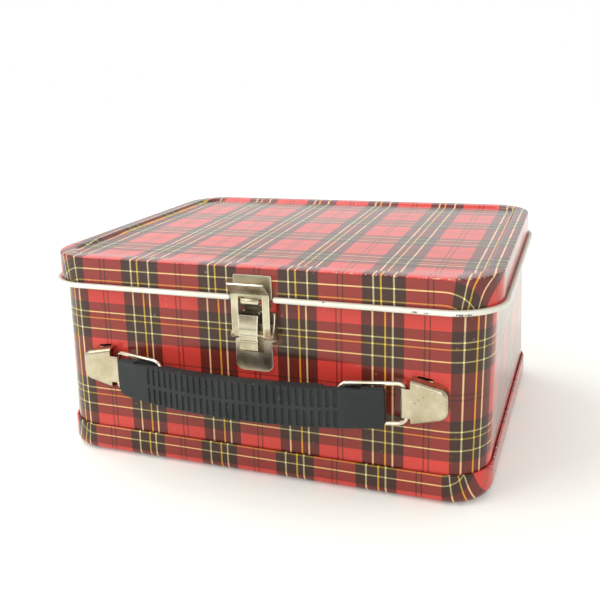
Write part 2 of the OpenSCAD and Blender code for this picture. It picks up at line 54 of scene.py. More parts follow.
# %% [markdown]
# The tin's sizes could be typed in again, but then they would drift away from the solids. They are read
# off the solids' own boxes, and only what a box can't tell, such as a corner's radius, is written here.

# %% Sizes taken from the frame
def box_mm(node):
    """Lowest and highest corner of a solid, in millimetres."""
    low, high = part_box(node)
    return low / MM, high / MM


WALL_LOW, WALL_HIGH = box_mm("body_band")
LID_LOW, LID_HIGH = box_mm("lid_pan")
PAN_HIGH = box_mm("back_pan")[1]
SHEET = 0.4
CORNER_R = 20
HALF_X = WALL_HIGH.x - CORNER_R
HALF_Y = WALL_HIGH.y - CORNER_R
FRONT = WALL_LOW.y
BACK = WALL_HIGH.y
LID_R = CORNER_R + LID_HIGH.x - WALL_HIGH.x
PAN_R = CORNER_R + PAN_HIGH.x - WALL_HIGH.x
print("corner axes at", round(HALF_X, 2), round(HALF_Y, 2), "lid radius", round(LID_R, 2))


# %% [markdown]
# The photograph was taken from a little right of the middle and from above, with the camera rolled by a
# couple of degrees. A constraint could aim the camera, but a turn, a tilt and a roll are plainer to read.
# The picture is a crop from below the lens's axis, which the vertical shift stands for.

# %% Camera
def add_object(name, data):
    """Puts a new object into the scene."""
    added = bpy.data.objects.new(name, data)
    bpy.context.scene.collection.objects.link(added)
    return added


CAMERA_AT = Vector((146.36, -408.88, 193.88)) * MM
CAMERA_TURN = math.radians(20.42)
CAMERA_TILT = math.radians(9.14)
CAMERA_ROLL = math.radians(-1.94)
camera = add_object("camera", bpy.data.cameras.new("camera"))
aim = Matrix.Rotation(CAMERA_TURN, 4, "Z") @ Matrix.Rotation(math.pi / 2 - CAMERA_TILT, 4, "X")
camera.matrix_world = Matrix.Translation(CAMERA_AT) @ aim @ Matrix.Rotation(CAMERA_ROLL, 4, "Z")
camera.data.sensor_width = 36
camera.data.lens = 46.754
camera.data.shift_y = -0.1774
bpy.context.scene.camera = camera
print("camera", round((CAMERA_AT - Vector((0, FRONT * MM, 0.05))).length, 3), "m from the front")


# %% [markdown]
# Finishes are built from shader nodes. Each node could be added and linked by hand, but that takes five
# lines a node. The helpers below add a node and feed its sockets from numbers or from other sockets, so a
# finish reads as a short recipe. An effect that several finishes share becomes a group with named sockets.

# %% Node helpers
def ink(red, green, blue):
    """A colour as read off a screen, turned into the linear values a shader wants."""
    parts = [c / 255 for c in (red, green, blue)]
    return tuple(((c + 0.055) / 1.055) ** 2.4 if c > 0.04 else c / 12.92 for c in parts) + (1.0,)


def feed(node, feeds):
    """Feeds a node's inputs from other sockets or from plain numbers."""
    for key, value in feeds.items():
        if isinstance(value, bpy.types.NodeSocket):
            node.id_data.links.new(value, node.inputs[key])
        else:
            node.inputs[key].default_value = value


def put(tree, kind, inputs=None, **settings):
    """Adds a shader node, sets it up and feeds its inputs."""
    added = tree.nodes.new("ShaderNode" + kind)
    for key, value in settings.items():
        setattr(added, key, value)
    feed(added, inputs or {})
    return added


def calc(tree, operation, *values):
    """One step of arithmetic on sockets or numbers."""
    return put(tree, "Math", dict(enumerate(values)), operation=operation).outputs[0]


def blend(tree, share, first, second, mode="MIX"):
    """Mixes two colours."""
    mixed = put(tree, "Mix", {0: share, 6: first, 7: second}, data_type="RGBA", blend_type=mode)
    return mixed.outputs[2]


def ramp_between(tree, value, low, high):
    """A soft step from nought to one between two values."""
    feeds = {"Value": value, "From Min": low, "From Max": high}
    return put(tree, "MapRange", feeds, interpolation_type="SMOOTHSTEP").outputs[0]


print("a screen's middle grey is", round(ink(128, 128, 128)[0], 3), "to a shader")


# %% Helpers for groups and finishes
def new_group(name, inputs, outputs):
    """Opens a node group with named sockets. Returns its tree, its input sockets and its output node."""
    tree = bpy.data.node_groups.new(name, "ShaderNodeTree")
    for label, kind in inputs.items():
        tree.interface.new_socket(label, in_out="INPUT", socket_type="NodeSocket" + kind)
    for label, kind in outputs.items():
        tree.interface.new_socket(label, in_out="OUTPUT", socket_type="NodeSocket" + kind)
    return tree, tree.nodes.new("NodeGroupInput").outputs, tree.nodes.new("NodeGroupOutput")


def use_group(tree, group, **feeds):
    """Places a group in a tree and feeds its named sockets."""
    return put(tree, "Group", feeds, node_tree=group).outputs


def new_finish(name):
    """A material with one Principled shader, returned with its tree and shader."""
    finish = bpy.data.materials.new(name)
    finish.use_nodes = True
    return finish, finish.node_tree, finish.node_tree.nodes["Principled BSDF"]


print("group and finish helpers ready")


# %% [markdown]
# Tartan is woven from one order of coloured threads, the sett, used for both the upright and the lying
# threads. The printer imitates it: broad dark bands with two cream lines and a yellow one, and a thin dark
# pair across the red. It could be painted as an image. A colour ramp that repeats stays sharp at any size,
# and its stops are simply the places of the stripes. Its three channels carry dark, line and yellow.

# %% The sett
REPEAT = 40.56
DARK_BAND = 19.5
LINES = ((5.1, 0), (10.95, 1), (14.4, 0))
DARK_PAIR = (28.7, 31.1)
PAIR_WIDTH = 0.6
PAIR_DARK = 0.8
UP_LINE_WIDTH = 0.8
FLAT_LINE_WIDTH = 0.62
tartan, ins, tartan_end = new_group("tartan", {"Print": "Vector"}, {"Color": "Color"})
place = put(tartan, "SeparateXYZ", {0: ins["Print"]}).outputs


def thread_set(along, line_width):
    """Darkness, line and yellow line across one set of threads."""
    stops = [(0.0, (1, 0, 0))]
    for middle, yellow in LINES:
        stops += [(middle - line_width / 2, (1, 1, yellow)), (middle + line_width / 2, (1, 0, 0))]
    stops.append((DARK_BAND, (0, 0, 0)))
    for middle in DARK_PAIR:
        stops += [(middle - PAIR_WIDTH / 2, (PAIR_DARK, 0, 0)), (middle + PAIR_WIDTH / 2, (0, 0, 0))]
    chart = put(tartan, "ValToRGB", {0: calc(tartan, "FRACT", along)})
    chart.color_ramp.interpolation = "CONSTANT"
    marks = chart.color_ramp.elements
    while len(marks) < len(stops):
        marks.new(0.5)
    for mark, (at, masks) in zip(marks, stops):
        mark.position = at / REPEAT
        mark.color = masks + (1.0,)
    return put(tartan, "SeparateColor", {0: chart.outputs[0]}).outputs


up_dark, up_line, up_yellow = thread_set(place[0], UP_LINE_WIDTH)
flat_dark, flat_line, flat_yellow = thread_set(place[1], FLAT_LINE_WIDTH)
print("tartan sett of", len(LINES), "lines over", REPEAT, "mm")


# %% [markdown]
# Where the two sets of threads cross, a twill of fine slanting dots lets both colours show. A slanted
# zigzag of both print coordinates is enough for it. The same dots break up the light lines, and where two
# light lines cross the printer left a bright knot.

# %% The weave
TWILL = 38.0
LINE_COVER = 0.95
slant = calc(tartan, "MULTIPLY", calc(tartan, "ADD", place[0], place[1]), TWILL)
twill = calc(tartan, "MULTIPLY", calc(tartan, "PINGPONG", slant, 0.5), 2.0)
dots = ramp_between(tartan, twill, 0.3, 0.7)


def left_open(mask, steady, swing):
    """How much red one set of threads leaves open, swinging with the twill."""
    cover = calc(tartan, "MULTIPLY", mask, calc(tartan, "MULTIPLY_ADD", twill, swing, steady))
    return calc(tartan, "SUBTRACT", 1.0, cover)


def lay_lines(under, line, yellow, crossed, inks_on_red, inks_on_dark, gap, dark_gap):
    """Lays one set's cream and yellow lines over the cloth, broken by the twill's dots."""
    on_red = blend(tartan, yellow, *inks_on_red)
    on_dark = blend(tartan, yellow, *inks_on_dark)
    breaks = calc(tartan, "MULTIPLY", dots, calc(tartan, "MULTIPLY_ADD", crossed, dark_gap, gap))
    cover = calc(tartan, "MULTIPLY", line, calc(tartan, "SUBTRACT", LINE_COVER, breaks))
    return blend(tartan, cover, under, blend(tartan, crossed, on_red, on_dark))


red_left = calc(tartan, "MULTIPLY", left_open(up_dark, 0.68, 0.24), left_open(flat_dark, 0.74, -0.28))
both_dark = calc(tartan, "MULTIPLY", up_dark, flat_dark)
red_left = calc(tartan, "MAXIMUM", calc(tartan, "MULTIPLY_ADD", both_dark, -0.03, red_left), 0.0)
cloth = blend(tartan, red_left, ink(44, 37, 30), ink(215, 69, 60))
cloth = lay_lines(cloth, up_line, up_yellow, flat_dark, (ink(252, 208, 158), ink(252, 164, 50)),
                  (ink(220, 207, 154), ink(228, 190, 64)), 0.2, 0.5)
cloth = lay_lines(cloth, flat_line, flat_yellow, up_dark, (ink(248, 206, 138), ink(228, 138, 60)),
                  (ink(192, 182, 124), ink(176, 152, 48)), 0.12, 0.4)
crossing = calc(tartan, "MULTIPLY", up_line, flat_line)
knot = blend(tartan, up_yellow, ink(255, 246, 168), ink(255, 212, 56))
feed(tartan_end, {"Color": blend(tartan, crossing, cloth, knot)})
print("tartan group has", len(tartan.nodes), "nodes")


# %% [markdown]
# Age shows the same way on every piece. Edges lose flecks of paint or plating, and faces carry fine
# scratches. Both could be painted by hand on each piece. Noise in the piece's own coordinates does it for
# all of them and moves along when the lid opens.

# %% Flecks and scratches
def noise_at(tree, scale, detail, spot=None):
    """Cloudy noise that moves along with the piece."""
    if spot is None:
        spot = put(tree, "TexCoord").outputs["Object"]
    return put(tree, "TexNoise", {"Vector": spot, "Scale": scale, "Detail": detail}).outputs[0]


flecks, ins, end = new_group("flecks", {"Edge": "Float", "Reach": "Float", "Grain": "Float"},
                             {"Mask": "Float"})
pushed = calc(flecks, "MULTIPLY_ADD", ins["Edge"], ins["Reach"], noise_at(flecks, ins["Grain"], 4.0))
near_edge = ramp_between(flecks, ins["Edge"], 0.0, 0.5)
feed(end, {"Mask": calc(flecks, "MULTIPLY", ramp_between(flecks, pushed, 0.79, 0.83), near_edge)})

scratches, ins, end = new_group("scratches", {"Reach": "Float"}, {"Mask": "Float"})
strokes = []
for turn, grain in ((0.5, 330.0), (1.9, 420.0)):
    drawn_out = put(scratches, "Mapping", {"Vector": put(scratches, "TexCoord").outputs["Object"],
                                           "Rotation": (turn, 0.4, turn), "Scale": (1.0, 0.045, 1.0)})
    fine = noise_at(scratches, grain, 1.0, drawn_out.outputs[0])
    strokes.append(calc(scratches, "ADD", fine, ins["Reach"]))
feed(end, {"Mask": ramp_between(scratches, calc(scratches, "MAXIMUM", *strokes), 0.76, 0.84)})
print("groups:", flecks.name, scratches.name)


# %% [markdown]
# The tone of old ink or plating is never quite even, and rust spreads from a few known spots. A ragged spot
# is a ball round its centre whose rim is eaten away by noise, so one group serves for a rust bloom, for a
# chip, and for the painted shade and painted reflection by the latch.

# %% Tone and ragged spots
tone, ins, end = new_group("tone", {"Grain": "Float", "Swing": "Float"}, {"Value": "Float"})
off_middle = calc(tone, "SUBTRACT", noise_at(tone, ins["Grain"], 5.0), 0.5)
feed(end, {"Value": calc(tone, "ADD", calc(tone, "MULTIPLY", off_middle, ins["Swing"]), 1.0)})

ragged_spot, ins, end = new_group("ragged_spot", {"Centre": "Vector", "Radius": "Float", "Grain": "Float"},
                            {"Mask": "Float"})
away = put(ragged_spot, "VectorMath", {0: put(ragged_spot, "TexCoord").outputs["Object"], 1: ins["Centre"]},
           operation="DISTANCE").outputs["Value"]
closeness = calc(ragged_spot, "SUBTRACT", 1.0, calc(ragged_spot, "DIVIDE", away, ins["Radius"]))
ragged = noise_at(ragged_spot, ins["Grain"], 4.0)
broken = calc(ragged_spot, "MULTIPLY_ADD", ragged, 1.1, calc(ragged_spot, "SUBTRACT", closeness, 0.55))
inside = calc(ragged_spot, "GREATER_THAN", closeness, 0.0)
feed(end, {"Mask": calc(ragged_spot, "MULTIPLY", ramp_between(ragged_spot, broken, 0.28, 0.62), inside)})
print("groups:", tone.name, ragged_spot.name)


# %% [markdown]
# Printed tin is ink under a thin varnish, so it is glossy and mirrors the white room at low angles. The
# lid's front edge is rubbed to bare metal in flecks, and rust has crept out from behind the latch. The
# three tin pieces could share one material. Each has its own, because each has its own rust. On the wall,
# the spots beside the latch and in its window are painted shade in a rust colour.

# %% Layers of a finish
def uneven(tree, grain, swing):
    """A value that wanders about one."""
    return use_group(tree, tone, Grain=grain, Swing=swing)["Value"]


def painted(tree, name):
    """A mask stored in the mesh, such as its worn edges."""
    return put(tree, "Attribute", attribute_name=name).outputs["Fac"]


def lay_over(tree, color, mask, strength, paint):
    """Lays a paint over a colour where a mask says so."""
    return blend(tree, calc(tree, "MULTIPLY", mask, strength), color, paint)


def lay_ragged_spots(tree, color, spots, paint, grain, strength=1.0):
    """Lays ragged spots of one colour over another, and returns the colour and the whole mask. Finishes use
    it for rust, for chips, and for painted shade and reflection.
    """
    whole = None
    for centre, radius in spots:
        spot = use_group(tree, ragged_spot, Centre=Vector(centre) * MM, Radius=radius * MM, Grain=grain)["Mask"]
        whole = spot if whole is None else calc(tree, "MAXIMUM", whole, spot)
    whole = calc(tree, "MULTIPLY", whole, strength)
    return blend(tree, whole, color, paint), whole


print("a finish is laid from", tone.name, scratches.name, flecks.name, "and", ragged_spot.name)


# %% Finishes of the tin
def printed_tin(name, reach, spots):
    """Tartan ink under varnish, worn at the edges and darkened in a rust colour at the given spots: rust,
    and on the wall also painted shade.
    """
    finish, tree, shader = new_finish(name)
    color = use_group(tree, tartan, Print=put(tree, "UVMap", uv_map="print").outputs[0])["Color"]
    color = blend(tree, 1.0, color, uneven(tree, 26.0, 0.28), "MULTIPLY")
    rubbed = use_group(tree, scratches, Reach=0.0)["Mask"]
    color = lay_over(tree, color, rubbed, 0.3, ink(226, 196, 178))
    bare = use_group(tree, flecks, Edge=painted(tree, "edge"), Reach=reach, Grain=900.0)["Mask"]
    color = lay_over(tree, color, bare, 0.85, ink(206, 192, 168))
    color, spot_mask = lay_ragged_spots(tree, color, spots, ink(112, 70, 50), 1400.0)
    dull = calc(tree, "MULTIPLY_ADD", uneven(tree, 60.0, 0.5), 0.22, -0.05)
    feed(shader, {"Base Color": color, "Roughness": calc(tree, "MULTIPLY_ADD", spot_mask, 0.4, dull),
                  "IOR": 1.34, "Coat Weight": 0.25, "Coat Roughness": 0.06})
    return finish


LID_RUST = (((12.0, -91.4, 92.5), 6.0), ((-8.2, -91.4, 96.0), 4.0))
# The spots beside the latch and in its window are painted shade in a rust colour. The small one low on the
# right is rust.
WALL_RUST_AND_SHADE = (((12.8, -88.0, 69.0), 5.0), ((-4.2, -88.0, 86.0), 5.0), ((9.0, -88.0, 86.0), 4.0),
             ((93.3, -88.0, 20.1), 1.2))
PAN_RUST = (((-105.0, -80.0, 11.0), 5.0), ((40.0, -89.5, 1.0), 3.0))
lid_tin = printed_tin("lid_tin", 0.23, LID_RUST)
wall_tin = printed_tin("wall_tin", 0.12, WALL_RUST_AND_SHADE)
pan_tin = printed_tin("pan_tin", 0.06, PAN_RUST)
print("tin finishes:", lid_tin.name, wall_tin.name, pan_tin.name)


# %% [markdown]
# Inside, such a tin is lacquered beige, and outside, the lid's rolled edge is painted cream and chipped
# here and there down to dark metal. Both are plain paints with a wandering tone, and the cream is darkened
# towards the roll's top and bottom as painted shade. The chips are stains with a fine grain, since a few
# small spots don't need a mask of their own.

# %% Lacquer and cream paint
CHIPS = (((38.1, -93.4, 91.2), 0.9), ((78.6, -93.8, 89.8), 0.8), ((79.6, -93.8, 89.8), 0.9),
         ((83.6, -93.8, 89.7), 0.6), ((84.5, -93.8, 89.7), 0.7), ((96.9, -92.9, 89.7), 0.8),
         ((98.0, -92.6, 89.6), 1.0), ((98.9, -92.3, 89.5), 1.1), ((100.4, -91.8, 89.5), 0.8),
         ((101.5, -91.3, 89.5), 1.0), ((102.5, -90.9, 89.5), 0.7))

lacquer, tree, shader = new_finish("inside_lacquer")
even = uneven(tree, 18.0, 0.35)
color = blend(tree, ramp_between(tree, even, 0.9, 1.1), ink(196, 178, 138), ink(224, 212, 182))
feed(shader, {"Base Color": color, "Roughness": calc(tree, "MULTIPLY", even, 0.38)})

cream, tree, shader = new_finish("cream_enamel")
even = uneven(tree, 50.0, 0.5)
color = blend(tree, ramp_between(tree, even, 0.88, 1.12), ink(232, 228, 212), ink(246, 245, 238))
# darker towards the roll's top and bottom, where it turns away from the light: painted shade
roll_shade = ramp_between(tree, painted(tree, "edge"), 0.55, 1.0)
color = lay_over(tree, color, roll_shade, 0.5, ink(150, 132, 92))
color, chipped = lay_ragged_spots(tree, color, CHIPS, ink(62, 54, 46), 2400.0, 0.9)
rough = calc(tree, "MULTIPLY_ADD", chipped, 0.4, calc(tree, "MULTIPLY", even, 0.3))
feed(shader, {"Base Color": color, "Roughness": rough})
print("paints:", lacquer.name, cream.name, "with", len(CHIPS), "chips")


# %% [markdown]
# The latch, the clips and the hinges are nickel plate gone warm, with rust where water stood, and the loops
# are brighter wire. One recipe serves for all of them. Rust isn't metallic, so the mask that colours it
# also takes down Metallic and makes the surface rough. On the latch's right side the rust spots also paint
# the warm reflection of the red wall, and the rounded edges get a near-white painted highlight.

# %% Plated finishes
def plated(name, bright, warm, dull, spots=(), rust_grain=0.0):
    """Worn plating over steel, with rust at the given spots. On the latch these spots also paint the warm
    reflection of the red wall.
    """
    finish, tree, shader = new_finish(name)
    even = uneven(tree, 120.0, 0.9)
    color = blend(tree, ramp_between(tree, even, 0.8, 1.2), warm, bright)
    color = lay_over(tree, color, use_group(tree, scratches, Reach=0.03)["Mask"], 0.4, ink(240, 236, 224))
    # Edges marked bright by the rounding get a near-white colour: a painted highlight.
    color = lay_over(tree, color, painted(tree, "bright"), 0.8, ink(252, 248, 234))
    corroded = use_group(tree, flecks, Edge=1.0, Reach=0.0, Grain=700.0)["Mask"]
    color = blend(tree, corroded, color, ink(60, 50, 42))
    if spots:
        brown = blend(tree, uneven(tree, 800.0, 2.0), ink(84, 62, 38), ink(152, 112, 66))
        color, spot_mask = lay_ragged_spots(tree, color, spots, brown, rust_grain, 0.7)
        corroded = calc(tree, "MAXIMUM", spot_mask, corroded)
    rough = calc(tree, "MULTIPLY_ADD", corroded, 0.4, calc(tree, "MULTIPLY", even, dull))
    metal = calc(tree, "SUBTRACT", 1.0, corroded)
    feed(shader, {"Base Color": color, "Metallic": metal, "Roughness": rough})
    return finish


# The latch spots are rust, and those on its right side also paint the warm reflection of the red wall.
LATCH_RUST_AND_REFLECTION = (((13.2, -93.0, 71.0), 4.5), ((12.4, -89.0, 65.0), 4.5), ((-7.0, -94.0, 72.0), 3.2),
              ((12.0, -94.4, 74.0), 4.4))
CLIP_RUST = (((80.5, -94.3, 50.6), 0.7), ((82.6, -94.3, 52.0), 0.6), ((79.0, -94.3, 49.0), 0.6))
WIRE_RUST = (((60.0, -94.0, 38.0), 2.0),)
HINGE_RUST = (((55.0, 89.0, 70.0), 6.0), ((-60.0, 92.0, 97.0), 5.0))
nickel = plated("latch_nickel", ink(208, 200, 174), ink(172, 161, 132), 0.24, LATCH_RUST_AND_REFLECTION, 1600.0)
base_nickel = plated("base_nickel", ink(218, 206, 184), ink(184, 170, 144), 0.34, LATCH_RUST_AND_REFLECTION, 1200.0)
# a darker copy of the latch nickel, used as painted shade on the plate behind the hasp
shade_nickel = plated("painted_shade_nickel", ink(112, 103, 84), ink(78, 70, 55), 0.5)
strike_nickel = plated("strike_nickel", ink(184, 177, 152), ink(150, 142, 116), 0.42)
clip_nickel = plated("clip_nickel", ink(206, 194, 168), ink(178, 165, 137), 0.3, CLIP_RUST, 2600.0)
wire_steel = plated("wire_steel", ink(240, 232, 214), ink(206, 194, 168), 0.2, WIRE_RUST, 700.0)
hinge_steel = plated("hinge_steel", ink(210, 204, 188), ink(166, 154, 130), 0.32, HINGE_RUST, 500.0)
print("metals:", nickel.name, base_nickel.name, shade_nickel.name, strike_nickel.name, clip_nickel.name,
      wire_steel.name, hinge_steel.name)


# %% [markdown]
# The grip is black moulded plastic. Black on its own would look like a hole in the picture, so it is a dark
# grey with scuffed edges and fine scratches, and it is less glossy than the varnished tin. The lighter
# scuffs along its front edges also serve as their painted highlight.

# %% Plastic of the grip
plastic, tree, shader = new_finish("grip_plastic")
even = uneven(tree, 40.0, 0.8)
color = blend(tree, ramp_between(tree, even, 0.8, 1.2), ink(46, 49, 49), ink(60, 63, 63))
# lighter scuffs on the marked edges, partly scuffs and partly a painted highlight along the front edges
scuffs_and_highlight = use_group(tree, flecks, Edge=painted(tree, "edge"), Reach=0.12, Grain=260.0)["Mask"]
color = lay_over(tree, color, scuffs_and_highlight, 0.5, ink(120, 122, 118))
color = lay_over(tree, color, use_group(tree, scratches, Reach=0.04)["Mask"], 0.3, ink(110, 112, 110))
rough = calc(tree, "MULTIPLY_ADD", scuffs_and_highlight, 0.15, calc(tree, "MULTIPLY", even, 0.55))
feed(shader, {"Base Color": color, "Roughness": rough, "IOR": 1.25})
print("plastic:", plastic.name)


# %% [markdown]
# Every piece is modelled in millimetres with bmesh, Blender's own mesh editor for scripts. Modifiers could
# do some of it, but a mesh made point by point keeps its print and its worn edges under control. A piece
# knows which body it rides, which finish slot it fills and which plain solid it replaces.

# %% Mesh helpers
TOUCHING = 0.001


def new_mesh():
    """An empty mesh with layers for the print, for worn edges and the bead's painted shade, and for rounded
    edges that get a painted highlight.
    """
    mesh = bmesh.new()
    mesh.loops.layers.uv.new("print")
    mesh.loops.layers.float.new("bright")
    mesh.verts.layers.float.new("edge")
    return mesh


def bridge(mesh, rings, endless=False):
    """Joins rings of points by a skin. The two ends are capped, or meet each other."""
    count = len(rings[0])
    for here, there in zip(rings, rings[1:] + rings[:1] if endless else rings[1:]):
        for i in range(count):
            j = (i + 1) % count
            mesh.faces.new((here[i], here[j], there[j], there[i]))
    if not endless:
        mesh.faces.new(rings[0][::-1])
        mesh.faces.new(rings[-1])


def merge_into(mesh, extra):
    """Moves a finished side mesh into a piece's mesh."""
    data = bpy.data.meshes.new("extra")
    extra.to_mesh(data)
    extra.free()
    mesh.from_mesh(data)
    bpy.data.meshes.remove(data)


print("mesh helpers ready, points merge within", TOUCHING, "mm")


# %% Soft edges and placing a piece
def sharp_edges(mesh, degrees):
    """The edges where two faces meet at more than an angle."""
    limit = math.radians(degrees)
    return [e for e in mesh.edges if len(e.link_faces) == 2 and e.calc_face_angle(0.0) > limit]


def soften(mesh, width, degrees=50, steps=2):
    """Rounds the sharp edges of a piece, and marks them for a painted highlight."""
    bmesh.ops.remove_doubles(mesh, verts=mesh.verts, dist=TOUCHING)
    bmesh.ops.recalc_face_normals(mesh, faces=mesh.faces)
    rounded = bmesh.ops.bevel(mesh, geom=sharp_edges(mesh, degrees), offset=width, offset_type="OFFSET",
                              segments=steps, profile=0.5, affect="EDGES", clamp_overlap=True)
    bright = mesh.loops.layers.float["bright"]
    for face in rounded["faces"]:
        for loop in face.loops:
            loop[bright] = 1.0


def place_piece(name, mesh, body, finishes, nodes, sharp=42):
    """Turns a mesh into a piece that rides a body and stands in for plain solids."""
    bmesh.ops.remove_doubles(mesh, verts=mesh.verts, dist=TOUCHING)
    bmesh.ops.dissolve_degenerate(mesh, dist=TOUCHING / 2, edges=mesh.edges)
    bmesh.ops.recalc_face_normals(mesh, faces=mesh.faces)
    for face in mesh.faces:
        face.smooth = True
    for edge in sharp_edges(mesh, sharp):
        edge.smooth = False
    bmesh.ops.scale(mesh, vec=(MM, MM, MM), verts=mesh.verts)
    data = bpy.data.meshes.new(name)
    mesh.to_mesh(data)
    mesh.free()
    for finish in finishes:
        data.materials.append(finish)
    piece = add_object(name, data)
    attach(piece, body)
    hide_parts(*nodes)
    print(name, "has", len(data.polygons), "faces and rides", body)
    return piece


print("pieces are scaled by", MM, "when they are placed")


# %% [markdown]
# Shapes and prints are worked out from a few plain rules: arcs, soft steps, and values read off a short
# list of knots. They are small enough to write here, so no other library is needed.

# %% Drawing helpers
def arc(x, y, radius, start, end, steps):
    """Points along an arc, its angles in degrees."""
    turns = [math.radians(start + (end - start) * i / steps) for i in range(steps + 1)]
    return [(x + radius * math.cos(a), y + radius * math.sin(a)) for a in turns]


def smooth(low, high, value):
    """A soft step between two values."""
    share = max(0.0, min(1.0, (value - low) / (high - low)))
    return share * share * (3 - 2 * share)


def between(knots, value):
    """Reads a value off a list of knots, held at both ends."""
    if value <= knots[0][0]:
        return knots[0][1]
    for (a0, b0), (a1, b1) in zip(knots, knots[1:]):
        if value <= a1:
            return b0 + (b1 - b0) * (value - a0) / (a1 - a0)
    return knots[-1][1]


print("a quarter arc in three steps has", len(arc(0, 0, 1, 0, 90, 3)), "points")


# %% [markdown]
# Four pieces run once round the tin, so they share one path: straight legs joined by quarter turns about
# the corner axes. A curve with a bevel object could carry a section along it too, but wouldn't say where
# each point of the print goes.

# %% The path round the tin
def leg(x0, y0, x1, y1, angle, steps):
    """Stations along a straight wall, all facing one way."""
    shares = [i / steps for i in range(steps + 1)]
    return [(x0 + (x1 - x0) * s, y0 + (y1 - y0) * s, angle, 0.0) for s in shares]


def quarter(x, y, angle, steps=20):
    """Stations inside a corner, with how strongly the sheet is drawn there."""
    turns = [90 * i / steps for i in range(1, steps)]
    return [(x, y, angle + t, math.sin(math.radians(2 * t)) ** 2) for t in turns]


def round_tin(steps):
    """The whole way round, starting and ending in the middle of the back."""
    hx, hy = HALF_X, HALF_Y
    return (leg(0, hy, -hx, hy, 90, steps) + quarter(-hx, hy, 90)
            + leg(-hx, hy, -hx, -hy, 180, 2 * steps) + quarter(-hx, -hy, 180)
            + leg(-hx, -hy, hx, -hy, 270, 2 * steps) + quarter(hx, -hy, 270)
            + leg(hx, -hy, hx, hy, 360, 2 * steps) + quarter(hx, hy, 360)
            + leg(hx, hy, 0, hy, 450, steps))


def outward(station, radius):
    """A point at a distance from the corner axis of a station."""
    x, y, angle = station[:3]
    return x + radius * math.cos(math.radians(angle)), y + radius * math.sin(math.radians(angle))


MIDDLE_STEPS = 20
RING = round_tin(MIDDLE_STEPS)
print("the path has", len(RING), "stations")


# %% [markdown]
# A half section of sheet is carried along the path, and a flat middle closes a lid or a pan. Pressed sheet
# was printed while it was flat. In a corner it has to stretch, so the print there lies between the sheet's
# own length and the radius that keeps the metal's area. That bends the stripes as on the real corners.

# %% Carrying a sheet and its print
def no_print(*spot):
    """Unprinted metal stays at one spot of the sett."""
    return 0.0, 0.0


def carry(mesh, path, section, print_at, printed, closed):
    """Carries a section of (radius, height) points along a path. The first strips are the printed ones."""
    layer = mesh.loops.layers.uv["print"]
    rows = [[mesh.verts.new((*outward(s, r), z)) for r, z in section] for s in path]
    last = len(section) if closed else len(section) - 1
    for k in range(len(path) - 1):
        for i in range(last):
            j = (i + 1) % len(section)
            corners = ((k, i), (k + 1, i), (k + 1, j), (k, j))
            face = mesh.faces.new([rows[a][b] for a, b in corners])
            face.material_index = 0 if i < printed else 1
            for loop, (a, b) in zip(face.loops, corners):
                loop[layer].uv = print_at(path[a], b) if i < printed else no_print()
    return rows


def fill_middle(mesh, height, steps, print_of, finish):
    """The flat rectangle between the corner axes."""
    layer = mesh.loops.layers.uv["print"]
    n = 2 * steps
    shares = [2 * i / n - 1 for i in range(n + 1)]
    grid = [[mesh.verts.new((HALF_X * u, HALF_Y * v, height)) for v in shares] for u in shares]
    for i in range(n):
        for j in range(n):
            face = mesh.faces.new((grid[i][j], grid[i + 1][j], grid[i + 1][j + 1], grid[i][j + 1]))
            face.material_index = finish
            for loop in face.loops:
                loop[layer].uv = print_of(loop.vert.co.x, loop.vert.co.y)


print("sheet helpers ready for", SHEET, "mm tinplate")


# %% Print on a pressed sheet
def blank_radii(outline):
    """For each point of an outline, its radius on the flat sheet by length and by area."""
    by_length = [outline[0][0]]
    by_area = [outline[0][0] ** 2]
    for (r0, z0), (r1, z1) in zip(outline, outline[1:]):
        step = math.hypot(r1 - r0, z1 - z0)
        by_length.append(by_length[-1] + step)
        by_area.append(by_area[-1] + (r0 + r1) * step)
    return by_length, [math.sqrt(a) for a in by_area]


def pressed_print(outline, print_of):
    """The rule for the print of a pressed sheet, by its station and its point of the outline."""
    by_length, by_area = blank_radii(outline)

    def print_at(station, i):
        drawn = station[3]
        return print_of(*outward(station, by_length[i] * (1 - drawn) + by_area[i] * drawn))

    return print_at


print("a square corner of 10 mm takes", [round(r[2], 1) for r in blank_radii([(0, 0), (10, 0), (10, 10)])])


# %% [markdown]
# The lid is one pressing: a sunk panel, a raised rim, a rounded edge and a short wall. A box with bevels
# would give the edge, but not the soft step down to the panel, so the half section is drawn instead.

# %% Section of the lid
LID_TOP = LID_HIGH.z
LID_FOOT = LID_LOW.z
LID_OUT = LID_R - CORNER_R
PANEL_DROP = 1.6
PANEL_Z = LID_TOP - PANEL_DROP
RIM_R = LID_R - 7
STEP_WIDTH = 3
EDGE_R = 0.9


def lid_outline(inset):
    """Half section of the lid's sheet, moved in by an amount."""
    turns = [math.pi * t / 6 for t in range(7)]
    step = [(RIM_R - STEP_WIDTH + STEP_WIDTH * a / math.pi, PANEL_Z + PANEL_DROP * (1 - math.cos(a)) / 2)
            for a in turns]
    shoulder = arc(LID_R - EDGE_R, LID_TOP - EDGE_R, EDGE_R - inset, 90, 0, 8)
    drop = LID_FOOT - LID_TOP + EDGE_R
    wall = [(LID_R - inset, LID_TOP - EDGE_R + drop * i / 4) for i in range(1, 5)]
    return [(0.0, PANEL_Z - inset)] + [(r, z - inset) for r, z in step] + shoulder + wall


lid_outer = lid_outline(0.0)
print("the lid's section has", len(lid_outer), "points, its panel lies at", round(PANEL_Z, 2))


# %% [markdown]
# The stripes run straight over the lid's top and fold down its front. The real print is a touch askew and
# uneven, and the knots below are the places of its stripes as the photograph shows them. A plain repeat
# would miss them by a few millimetres.

